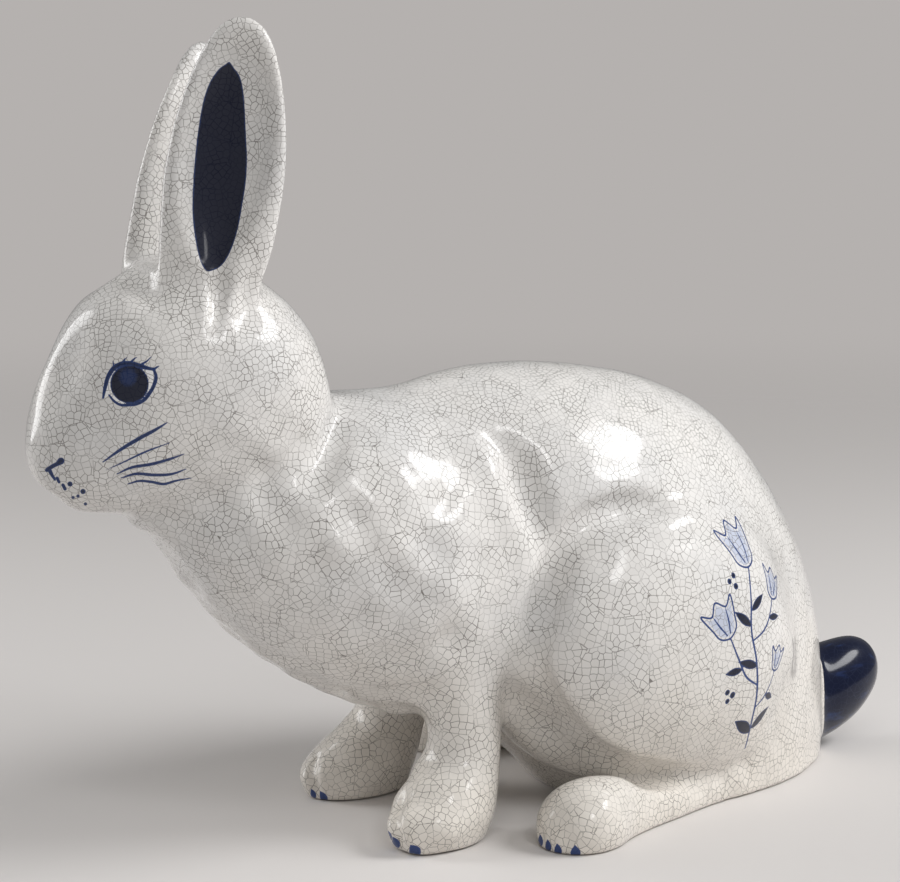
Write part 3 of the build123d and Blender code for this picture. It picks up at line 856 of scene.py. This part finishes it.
def brushworkOn(points, owner):
    normals = unit(slopeAt(skin, points))
    work = Brushwork(len(points))
    for side in (1, -1):
        place, out = points * (1, side, 1), normals * (1, side, 1)
        which = (owner == names.index("head")) & facing(place, out) & (place[:, 1] < brush["pastMiddle"])
        pixels, scale = toPixels(place[which])
        paintFace(work, which, pixels, scale)
        which = (owner == names.index("body")) & (out @ sprayOut > brush["turnedAway"])
        which &= np.linalg.norm(place - sprayMiddle[0], axis=1) < spray["reach"]
        lie = place[which] - sprayMiddle[0]
        paintSpray(work, which, np.stack([lie @ sprayAcross, lie @ sprayUp], 1))
    for number, side in enumerate(("left", "right")):
        root, axis, rim, outward = earFrame(number)
        which = (owner == names.index(f"{side}_ear")) & (normals @ outward > 0)
        lie = points[which] - root
        patch = fillDistance(np.stack([lie @ rim, lie @ axis], 1), patchOutline)
        work.lay("ink", which, patch, shades["ears"])
    footShift = hindFeet["toes"][0] - hindFeet["toes"][1]
    for name, rows in claws.items():
        pairs = [(name, (0, 0, 0), 1)]
        if name == "left_hind_foot":  # the far foot has the near one's claws, mirrored
            pairs.append(("right_hind_foot", (footShift, 0, 0), -1))
        for owned, shift, side in pairs:
            place, out = (points + shift) * (1, side, 1), normals * (1, side, 1)
            which = (owner == names.index(owned)) & facing(place, out)
            pixels, scale = toPixels(place[which])
            for u, v, width, length, lean in rows:
                claw = leafOutline((u, v), 180 + lean, length, width)
                work.lay("ink", which, fillDistance(pixels, claw) * scale, shades["claws"])
    return work


toeSpots = np.concatenate(toeLines)
onFeet = np.array(["leg" in name or "foot" in name for name in names])
for number in range(fine["rounds"]):
    work = brushworkOn(points, owner)
    edge = np.minimum(np.abs(work.ink), np.abs(work.white))
    edges, which = edgesOf(faces)
    start, stop = edges.T
    long = np.linalg.norm(points[start] - points[stop], axis=1)
    chosen = (np.minimum(edge[start], edge[stop]) < fine["reach"] * long) & (long > fine["edge"])
    if number == 0:  # the smaller castings have finer forms
        chosen |= (owner[start] != names.index("body")) & (long > fine["small"])
    else:
        nearToes = np.full(len(points), np.inf)
        feet = onFeet[owner]
        apart = np.linalg.norm(points[feet][:, None] - toeSpots[None], axis=2)
        nearToes[feet] = apart.min(1)
        chosen |= (nearToes[start] < fine["toes"]) & (long > fine["toeEdge"])
    faces = divide(faces, len(points), edges, which, chosen)
    middles = (points[start[chosen]] + points[stop[chosen]]) / 2
    middles = np.where(middles[:, 2:] > fine["still"], ontoSkin(skin, middles), middles)
    points = np.concatenate([points, middles])
    nearness = np.concatenate([nearness, (nearness[start[chosen]] + nearness[stop[chosen]]) / 2])
    owner = nearness.argmin(1)
report(f"brushwork: {len(points)} points, {len(faces)} triangles")

# Crackle: blocks of glaze between the older cracks, and the cells within them
crazing = {
    "seed": 11, "tries": 14000, "rows": 6000,  # points handled at a time
    "block": 4.2, "apart": 0.72,  # in cells, and the share of it that keeps two seeds apart
    "levels": (30.0, 120.0, 200.0, 260.0), "cells": (3.8, 3.8, 3.5, 3.0),  # height, cell size
    "backX": (-60.0, -30.0), "backZ": (180.0, 205.0), "backCell": 2.9,  # finer over the top of the back
    "thickness": 12.0,  # keeps the two faces of an ear apart
    "meeting": 0.14,  # gap given to a corner where three blocks meet
    "margin": 0.02,  # how near to a point a crack may cross an edge, as a share of the edge
    "shift": 60.0, "steep": 0.8,  # for the layout of the cells in a block
}


def cellAt(places):  # the size of the crackle's cells at a place
    size = np.interp(places[:, 2], crazing["levels"], crazing["cells"])
    back = fadeBetween(places[:, 2], *crazing["backZ"]) * fadeBetween(places[:, 0], *crazing["backX"])
    return size + back * (crazing["backCell"] - size)


draw = np.random.default_rng(crazing["seed"])
normals = unit(slopeAt(skin, points))
tried = draw.choice(len(points), crazing["tries"], replace=False)
wanted = cellAt(points[tried]) * crazing["block"] * crazing["apart"]
seedPoints, seedNormals = np.empty((len(tried), 3)), np.empty((len(tried), 3))
kept = 0
for number, apart in zip(tried, wanted):
    gaps = ((seedPoints[:kept] - points[number]) ** 2).sum(1)
    gaps += crazing["thickness"] ** 2 * (1 - seedNormals[:kept] @ normals[number])
    if kept == 0 or gaps.min() > apart ** 2:
        seedPoints[kept], seedNormals[kept] = points[number], normals[number]
        kept += 1
seedPoints, seedNormals = seedPoints[:kept], seedNormals[:kept]
seedCells = cellAt(seedPoints)


def farness(points, normals, which=None):  # from seeds, squared, with the part shared by all left out
    place, out = (seedPoints, seedNormals) if which is None else (seedPoints[which], seedNormals[which])
    own = (place ** 2).sum(1)
    weight = crazing["thickness"] ** 2
    if which is None:
        return own - 2 * points @ place.T - weight * normals @ out.T
    return own - 2 * (points * place).sum(1) - weight * (normals * out).sum(1)


def nearerBy(points, normals, near, other):  # how much nearer one block's seed is than another's
    return farness(points, normals, other) - farness(points, normals, near)


first, gap = np.empty(len(points), int), np.empty(len(points))
for low in range(0, len(points), crazing["rows"]):
    rows = slice(low, low + crazing["rows"])
    far = farness(points[rows], normals[rows])
    order = np.argpartition(far, 1, axis=1)[:, :2]
    pair = np.take_along_axis(far, order, 1)
    swapped = pair[:, 0] > pair[:, 1]
    order[swapped] = order[swapped, ::-1]
    first[rows] = order[:, 0]
    between = np.linalg.norm(seedPoints[order[:, 0]] - seedPoints[order[:, 1]], axis=1)
    gap[rows] = np.abs(pair[:, 1] - pair[:, 0]) / (2 * between)
edges, which = edgesOf(faces)
start, stop = edges.T
chosen = first[start] != first[stop]
start, stop = start[chosen], stop[chosen]
atStart = nearerBy(points[start], normals[start], first[start], first[stop])
atStop = nearerBy(points[stop], normals[stop], first[start], first[stop])
share = np.clip(atStart / (atStart - atStop + tiny), crazing["margin"], 1 - crazing["margin"])[:, None]
faces = divide(faces, len(points), edges, which, chosen)
points = np.concatenate([points, points[start] * (1 - share) + points[stop] * share])
nearness = np.concatenate([nearness, nearness[start] * (1 - share) + nearness[stop] * share])
first = np.concatenate([first, first[start]])
gap = np.concatenate([gap, np.zeros(len(start))])
meeting = faces[(gap[faces] == 0).all(1)]
gap[meeting] = crazing["meeting"]
block = first[faces.min(1)]
owner = nearness.argmin(1)
work = brushworkOn(points, owner)
work.gap = gap
normals = unit(slopeAt(skin, points))
faceOwner = nearness[faces].mean(1).argmin(1)
angles = draw.uniform(0, np.pi, kept)[:, None]
helper = np.where(np.abs(seedNormals[:, 2:]) < crazing["steep"], (0.0, 0.0, 1.0), (1.0, 0.0, 0.0))
blockX = unit(np.cross(helper, seedNormals))
blockY = np.cross(seedNormals, blockX)
blockX, blockY = (blockX * np.cos(angles) + blockY * np.sin(angles),
                  blockY * np.cos(angles) - blockX * np.sin(angles))
blockShift = draw.uniform(0, crazing["shift"], (kept, 2))
report(f"crackle: {kept} blocks, {len(points)} points, {len(faces)} triangles")


def closeOff(faces, points):  # each open ring of a casting, closed to its middle
    edges, which = edgesOf(faces)
    once = np.bincount(which.ravel(), minlength=len(edges))[which] == 1
    rim = np.concatenate([np.stack([faces[:, n], faces[:, (n + 1) % 3]], 1)[once[:, n]] for n in range(3)])
    ring = np.arange(len(points))
    for _ in range(len(rim)):
        lowest = np.minimum(ring[rim[:, 0]], ring[rim[:, 1]])
        before = ring.copy()
        np.minimum.at(ring, rim[:, 0], lowest)
        np.minimum.at(ring, rim[:, 1], lowest)
        if (before == ring).all():
            break
    rings, number = np.unique(ring[rim[:, 0]], return_inverse=True)
    middles = np.array([points[rim[number == n, 0]].mean(0) for n in range(len(rings))])
    caps = np.stack([rim[:, 1], rim[:, 0], len(points) + number], 1)
    return np.concatenate([faces, caps]), middles.reshape(-1, 3)


def makePiece(name, points, faces, normals, material, channels, layout, cells):
    mesh = bpy.data.meshes.new(name)
    mesh.vertices.add(len(points))
    mesh.vertices.foreach_set("co", (points * mm).astype(np.float32).ravel())
    mesh.loops.add(faces.size)
    mesh.loops.foreach_set("vertex_index", faces.astype(np.int32).ravel())
    mesh.polygons.add(len(faces))
    mesh.polygons.foreach_set("loop_start", np.arange(0, faces.size, 3, dtype=np.int32))
    mesh.update(calc_edges=True)
    mesh.polygons.foreach_set("use_smooth", np.ones(len(faces), bool))
    for channel, values in channels.items():
        attribute = mesh.attributes.new(channel, "FLOAT", "POINT")
        attribute.data.foreach_set("value", values.astype(np.float32))
    mesh.uv_layers.new(name="crazing").uv.foreach_set("vector", layout.astype(np.float32).ravel())
    mesh.attributes.new("cell", "FLOAT", "FACE").data.foreach_set("value", cells.astype(np.float32))
    mesh.validate()
    mesh.normals_split_custom_set_from_vertices(normals.tolist())
    piece = bpy.data.objects.new(name, mesh)
    bpy.context.scene.collection.objects.link(piece)
    mesh.materials.append(material)
    return piece


# Glazes
colours = {
    # the warmer, darker colour here is painted shade for the lower parts
    "glaze": (0.845, 0.825, 0.800, 1), "warmShade": (0.780, 0.715, 0.620, 1), "grey": (0.770, 0.760, 0.750, 1),
    "line": (0.120, 0.105, 0.092, 1), "eyeWhite": (0.93, 0.93, 0.94, 1), "wash": (0.33, 0.42, 0.66, 1),
    "lightCobalt": (0.024, 0.060, 0.215, 1), "darkCobalt": (0.0030, 0.0060, 0.0240, 1),
    "clay": (0.50, 0.42, 0.33, 1),
}
gloss = {
    "roughness": 0.4, "specular": 0.08, "bareRoughness": 0.9,
    "coatBend": 1.38, "coatRoughness": 0.12,
    "sunk": 0.5,  # how much of the coat sinks into the paint
    "peel": 0.0003, "peelScale": 0.05,  # orange peel, in metres
}
crackle = {
    "line": 0.135, "blockLine": 0.13, "full": 0.4, "gone": 1.8,  # where a line fades, in line widths
    "depth": 0.86, "randomness": 0.66, "wobble": 0.35, "wobbleScale": 0.9,
    "faint": 0.38, "faintScale": 0.09, "faintRange": (0.3, 0.65),
}
glazeTones = {  # heights in millimetres, scales per millimetre
    "cloudScale": 0.018, "clouds": (0.35, 0.75),
    # painted shade of a warmer tint, darker towards the foot: its scale, wander, heights and share
    "warmShadeScale": 0.03, "warmShadeWander": 60.0, "warmShadeHeights": (170.0, 30.0), "warmShadeShare": 0.55,
    "cellTone": 0.07, "eyeWhite": 0.8, "bareHeights": (0.25, 0.5),
}
brushTones = {  # grain is the unevenness of the brush
    "scale": 1.1, "detail": 3.0, "edge": (-0.1, 0.1), "edgeGrain": 0.22, "cover": 0.97,
    "wash": 0.5, "washEdge": (-0.8, 0.6), "washGrain": 1.5,
    "pool": (-0.05, -1.1), "poolGrain": 1.2, "poolBase": 0.35,
    "glow": (-3.0, 2.5), "glowGrain": 3.0, "glowTone": 0.45,
}
tailTones = {
    "stretch": (0.25, 1.0, 1.0), "scale": 0.14, "detail": 3.0, "streaks": (0.56, 0.78), "streak": 0.55,
    "lines": 0.03,
}


def wire(tree, kind, inputs=None, **settings):
    made = tree.nodes.new(kind)
    for key, value in settings.items():
        setattr(made, key, value)
    for key, value in (inputs or {}).items():
        if isinstance(value, bpy.types.NodeSocket):
            tree.links.new(value, made.inputs[key])
        else:
            made.inputs[key].default_value = value
    return made


def math(tree, operation, a, b=0.0):
    return wire(tree, "ShaderNodeMath", {0: a, 1: b}, operation=operation).outputs[0]


def plus(tree, a, b):
    return math(tree, "ADD", a, b)


def minus(tree, a, b):
    return math(tree, "SUBTRACT", a, b)


def times(tree, a, b):
    return math(tree, "MULTIPLY", a, b)


def vector(tree, operation, a, b=(0, 0, 0), scale=None):
    inputs = {0: a, 1: b} if scale is None else {0: a, "Scale": scale}
    made = wire(tree, "ShaderNodeVectorMath", inputs, operation=operation)
    return made.outputs["Value" if operation == "LENGTH" else "Vector"]


def ramp(tree, value, low, high, start=0.0, end=1.0):
    inputs = {"Value": value, "From Min": low, "From Max": high, "To Min": start, "To Max": end}
    return wire(tree, "ShaderNodeMapRange", inputs, interpolation_type="SMOOTHSTEP").outputs["Result"]


def blend(tree, factor, a, b):
    made = wire(tree, "ShaderNodeMix", data_type="RGBA")
    for key, value in (("Factor_Float", factor), ("A_Color", a), ("B_Color", b)):
        socket = next(s for s in made.inputs if s.identifier == key)
        if isinstance(value, bpy.types.NodeSocket):
            tree.links.new(value, socket)
        else:
            socket.default_value = value
    return next(s for s in made.outputs if s.identifier == "Result_Color")


def channel(tree, name):
    return wire(tree, "ShaderNodeAttribute", attribute_name=name).outputs["Fac"]


def cloud(tree, place, scale, detail=2.0, output="Fac"):
    noise = {"Vector": place, "Scale": scale, "Detail": detail}
    return wire(tree, "ShaderNodeTexNoise", noise).outputs[output]


def crack(tree, gap, width):
    return ramp(tree, gap, width * crackle["full"], width * crackle["gone"], 1.0, 0.0)


def crackleLines(tree, place):  # cracks that meet older cracks, as they do in a crazed glaze
    layout = wire(tree, "ShaderNodeUVMap", uv_map="crazing").outputs["UV"]
    wobble = cloud(tree, layout, crackle["wobbleScale"], 1.0, "Color")
    wobble = vector(tree, "SUBTRACT", wobble, (0.5, 0.5, 0.5))
    layout = vector(tree, "ADD", layout, vector(tree, "SCALE", wobble, scale=crackle["wobble"]))
    inputs = {"Vector": layout, "Scale": 1.0, "Randomness": crackle["randomness"]}
    cell = wire(tree, "ShaderNodeTexVoronoi", inputs, feature="F1", voronoi_dimensions="2D")
    edge = wire(tree, "ShaderNodeTexVoronoi", inputs, feature="DISTANCE_TO_EDGE", voronoi_dimensions="2D")
    cellGap = times(tree, edge.outputs["Distance"], channel(tree, "cell"))
    lines = math(tree, "MAXIMUM", crack(tree, cellGap, crackle["line"]),
                 crack(tree, channel(tree, "gap"), crackle["blockLine"]))
    uneven = ramp(tree, cloud(tree, place, crackle["faintScale"]), *crackle["faintRange"],
                  crackle["faint"], 1.0)
    return times(tree, lines, uneven), cell.outputs["Color"]


def newMaterial(name):
    material = bpy.data.materials.new(name)
    material.use_nodes = True
    tree = material.node_tree
    place = vector(tree, "SCALE", wire(tree, "ShaderNodeTexCoord").outputs["Object"], scale=1 / mm)
    return material, tree, tree.nodes["Principled BSDF"], place


def addGloss(tree, shader, place):
    shader.inputs["Coat Weight"].default_value = 1.0
    shader.inputs["Specular IOR Level"].default_value = gloss["specular"]
    shader.inputs["Coat Roughness"].default_value = gloss["coatRoughness"]
    shader.inputs["Coat IOR"].default_value = gloss["coatBend"]
    peel = {"Height": cloud(tree, place, gloss["peelScale"], 1.0), "Distance": gloss["peel"], "Strength": 1.0}
    normal = wire(tree, "ShaderNodeBump", peel).outputs["Normal"]
    tree.links.new(normal, shader.inputs["Normal"])
    tree.links.new(normal, shader.inputs["Coat Normal"])


def glazeGround(tree, place, level, cell):  # cloudy white, with painted shade of a warmer tint, darker towards the foot
    clouds = ramp(tree, cloud(tree, place, glazeTones["cloudScale"]), *glazeTones["clouds"])
    colour = blend(tree, clouds, colours["glaze"], colours["grey"])
    # painted shade: warmer and darker lower down, with a cloudy wander in its height
    wander = times(tree, cloud(tree, place, glazeTones["warmShadeScale"]), glazeTones["warmShadeWander"])
    warmShadeShare = ramp(tree, plus(tree, level, wander), *glazeTones["warmShadeHeights"], 0.0, glazeTones["warmShadeShare"])
    colour = blend(tree, warmShadeShare, colour, colours["warmShade"])
    tone = wire(tree, "ShaderNodeSeparateXYZ", {0: cell}).outputs["X"]
    return blend(tree, times(tree, tone, glazeTones["cellTone"]), colour, colours["line"])


def washAndWhite(tree, colour, grain):  # the pale paint: the eye white and the wash in the bells
    white = ramp(tree, channel(tree, "white"), *brushTones["edge"], glazeTones["eyeWhite"], 0.0)
    colour = blend(tree, white, colour, colours["eyeWhite"])
    wash = plus(tree, channel(tree, "wash"), times(tree, grain, brushTones["washGrain"]))
    wash = ramp(tree, wash, *brushTones["washEdge"], brushTones["wash"], 0.0)
    return blend(tree, wash, colour, colours["wash"])


def cobaltBrush(tree, grain):  # the cobalt's colour, darker where it pooled, and where it covers
    ink = plus(tree, channel(tree, "ink"), times(tree, grain, brushTones["edgeGrain"]))
    depth = plus(tree, ink, times(tree, grain, brushTones["poolGrain"]))
    depth = ramp(tree, depth, *brushTones["pool"], 0.0, 1.0)
    pooled = times(tree, plus(tree, depth, brushTones["poolBase"]), channel(tree, "shade"))
    glow = plus(tree, channel(tree, "blue"), times(tree, grain, brushTones["glowGrain"]))
    pooled = times(tree, pooled, ramp(tree, glow, *brushTones["glow"], brushTones["glowTone"], 1.0))
    pooled = wire(tree, "ShaderNodeClamp", {"Value": pooled}).outputs[0]
    tone = blend(tree, pooled, colours["lightCobalt"], colours["darkCobalt"])
    return tone, ramp(tree, ink, *brushTones["edge"], brushTones["cover"], 0.0)


def crackleGlaze():
    material, tree, shader, place = newMaterial("crackleGlaze")
    lines, cell = crackleLines(tree, place)
    level = wire(tree, "ShaderNodeSeparateXYZ", {0: place}).outputs["Z"]
    grain = minus(tree, cloud(tree, place, brushTones["scale"], brushTones["detail"]), 0.5)
    colour = washAndWhite(tree, glazeGround(tree, place, level, cell), grain)
    colour = blend(tree, times(tree, lines, crackle["depth"]), colour, colours["line"])
    cobaltTone, painted = cobaltBrush(tree, grain)
    colour = blend(tree, painted, colour, cobaltTone)
    bare = ramp(tree, level, *glazeTones["bareHeights"], 1.0, 0.0)
    colour = blend(tree, bare, colour, colours["clay"])
    tree.links.new(colour, shader.inputs["Base Color"])
    roughness = ramp(tree, bare, 0.0, 1.0, gloss["roughness"], gloss["bareRoughness"])
    tree.links.new(roughness, shader.inputs["Roughness"])
    addGloss(tree, shader, place)
    coat = minus(tree, minus(tree, 1.0, bare), times(tree, painted, gloss["sunk"]))
    tree.links.new(coat, shader.inputs["Coat Weight"])
    return material


def cobaltGlaze():
    material, tree, shader, place = newMaterial("cobaltGlaze")
    lines = crackleLines(tree, place)[0]
    stretched = {"Vector": place, "Scale": tailTones["stretch"]}
    streaks = wire(tree, "ShaderNodeMapping", stretched).outputs[0]
    streaks = cloud(tree, streaks, tailTones["scale"], tailTones["detail"])
    thin = ramp(tree, streaks, *tailTones["streaks"], 0.0, tailTones["streak"])
    colour = blend(tree, thin, colours["darkCobalt"], colours["lightCobalt"])
    colour = blend(tree, times(tree, lines, tailTones["lines"]), colour, colours["wash"])
    tree.links.new(colour, shader.inputs["Base Color"])
    shader.inputs["Roughness"].default_value = gloss["roughness"]
    addGloss(tree, shader, place)
    return material


glaze, cobalt = crackleGlaze(), cobaltGlaze()

# Pieces: each casting is closed where it was luted, laid out for its crackle, hung on the root and shown in
# place of its CAD part, which is hidden
pieceNames = {
    "body": "bodyCasting", "head": "headCasting", "tail": "tailCasting", "left_ear": "leftEar",
    "right_ear": "rightEar", "left_front_leg": "leftFrontLeg", "right_front_leg": "rightFrontLeg",
    "left_hind_foot": "leftHindFoot", "right_hind_foot": "rightHindFoot",
}
for number, name in enumerate(names):
    mine = faceOwner == number
    used, own = np.unique(faces[mine], return_inverse=True)
    own = own.reshape(-1, 3)
    corners = points[used][own] - seedPoints[block[mine]][:, None]
    cells = seedCells[block[mine]]
    layout = np.stack([np.einsum("fci,fi->fc", corners, way[block[mine]]) for way in (blockX, blockY)], 2)
    layout = layout / cells[:, None, None] + blockShift[block[mine]][:, None]
    own, middles = closeOff(own, points[used])
    capped = len(own) - len(cells)
    layout = np.concatenate([layout, np.zeros((capped, 3, 2))])
    cells = np.concatenate([cells, np.ones(capped)])
    closed = np.concatenate([points[used], middles])
    inward = np.tile((0.0, 0.0, 1.0), (len(middles), 1))
    unpainted = np.full(len(middles), brush["unpainted"])
    channels = {channel: np.concatenate([getattr(work, channel)[used], unpainted])
                for channel in ("ink", "shade", "wash", "white", "blue", "gap")}
    material = cobalt if name == "tail" else glaze
    shell = (closed, own, np.concatenate([normals[used], inward]))
    piece = makePiece(pieceNames[name], *shell, material, channels, layout, cells)
    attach(piece, "root")
    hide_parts(name)
    report(f"{pieceNames[name]}: {len(own)} triangles")

# Stage
stage = {
    "radius": 14.0, "sides": 128, "floorColour": (0.72, 0.695, 0.68, 1), "floorRoughness": 0.6,
    "fade": (0.25, 2.4),  # metres from the middle
    "backdrop": (0.462, 0.440, 0.428, 1), "skyColour": (1.0, 0.985, 0.965, 1), "skyStrength": 0.20,
    "mirroredSky": 0.2, "aim": (0.0, 0.0, 0.16),  # where the lamps point
}
bpy.ops.mesh.primitive_circle_add(vertices=stage["sides"], radius=stage["radius"], fill_type="NGON")
floor = bpy.context.object
floor.name = "floor"
floorPaint = bpy.data.materials.new("floorPaper")
floorPaint.use_nodes = True
tree = floorPaint.node_tree
shader = tree.nodes["Principled BSDF"]
shader.inputs["Base Color"].default_value = stage["floorColour"]
shader.inputs["Roughness"].default_value = stage["floorRoughness"]
away = vector(tree, "LENGTH", wire(tree, "ShaderNodeTexCoord").outputs["Object"])
fade = ramp(tree, away, *stage["fade"])
clear = wire(tree, "ShaderNodeBsdfTransparent").outputs[0]
mixed = wire(tree, "ShaderNodeMixShader", {0: fade, 1: shader.outputs[0], 2: clear})
tree.links.new(mixed.outputs[0], tree.nodes["Material Output"].inputs["Surface"])
floor.data.materials.append(floorPaint)

world = bpy.data.worlds.new("studio")
bpy.context.scene.world = world
world.use_nodes = True
tree = world.node_tree
sky = tree.nodes["Background"]
sky.inputs["Color"].default_value = stage["skyColour"]
sky.inputs["Strength"].default_value = stage["skyStrength"]
backdrop = wire(tree, "ShaderNodeBackground", {"Color": stage["backdrop"]})
dim = wire(tree, "ShaderNodeBackground", {"Color": stage["skyColour"], "Strength": stage["mirroredSky"]})
path = wire(tree, "ShaderNodeLightPath")
glossy = {0: path.outputs["Is Glossy Ray"], 1: sky.outputs[0], 2: dim.outputs[0]}
shown = wire(tree, "ShaderNodeMixShader", glossy).outputs[0]
direct = {0: path.outputs["Is Camera Ray"], 1: shown, 2: backdrop.outputs[0]}
shown = wire(tree, "ShaderNodeMixShader", direct).outputs[0]
tree.links.new(shown, tree.nodes["World Output"].inputs["Surface"])

# Each lamp: the way to it, its distance, width, height, power, and whether the glaze mirrors it
lamps = {
    "rightSoftbox": ((0.64, -0.40, 0.66), 1.9, 1.0, 0.5, 12.0, True),
    "sideSoftbox": ((0.92, -0.46, 0.52), 2.4, 1.6, 1.6, 30.0, False),
    "leftSoftbox": ((-0.35, -0.85, 0.95), 2.4, 1.6, 1.6, 12.0, False),
    "frontSoftbox": ((-0.02, -0.70, 0.62), 1.9, 0.28, 0.5, 3.0, True),
    "rearStrip": ((-0.90, 0.85, 0.45), 1.7, 0.7, 1.4, 12.0, True),
}
aim = Vector(stage["aim"])
for name, (way, distance, width, height, power, mirrorsInGlaze) in lamps.items():
    lamp = bpy.data.lights.new(name, "AREA")
    lamp.shape = "ELLIPSE"
    lamp.size, lamp.size_y = width, height
    lamp.energy = power
    light = bpy.data.objects.new(name, lamp)
    light.location = aim + Vector(way).normalized() * distance
    light.rotation_mode = "QUATERNION"
    light.rotation_quaternion = (aim - light.location).to_track_quat("-Z", "Y")
    light.visible_glossy = mirrorsInGlaze
    bpy.context.scene.collection.objects.link(light)

camera = bpy.data.cameras.new("camera")
cameraObject = bpy.data.objects.new("camera", camera)
bpy.context.scene.collection.objects.link(cameraObject)
bpy.context.scene.camera = cameraObject
camera.sensor_width = photo["sensor"]
camera.lens = photo["focal"] * photo["sensor"] / photo["width"]
camera.clip_start, camera.clip_end = photo["clip"]
eye, target = Vector(photo["position"]) * mm, Vector(photo["target"]) * mm
cameraObject.location = eye
cameraObject.rotation_mode = "QUATERNION"
cameraObject.rotation_quaternion = (target - eye).to_track_quat("-Z", "Y")

bpy.context.scene.view_settings.view_transform = "Standard"

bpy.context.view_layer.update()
report("ready")
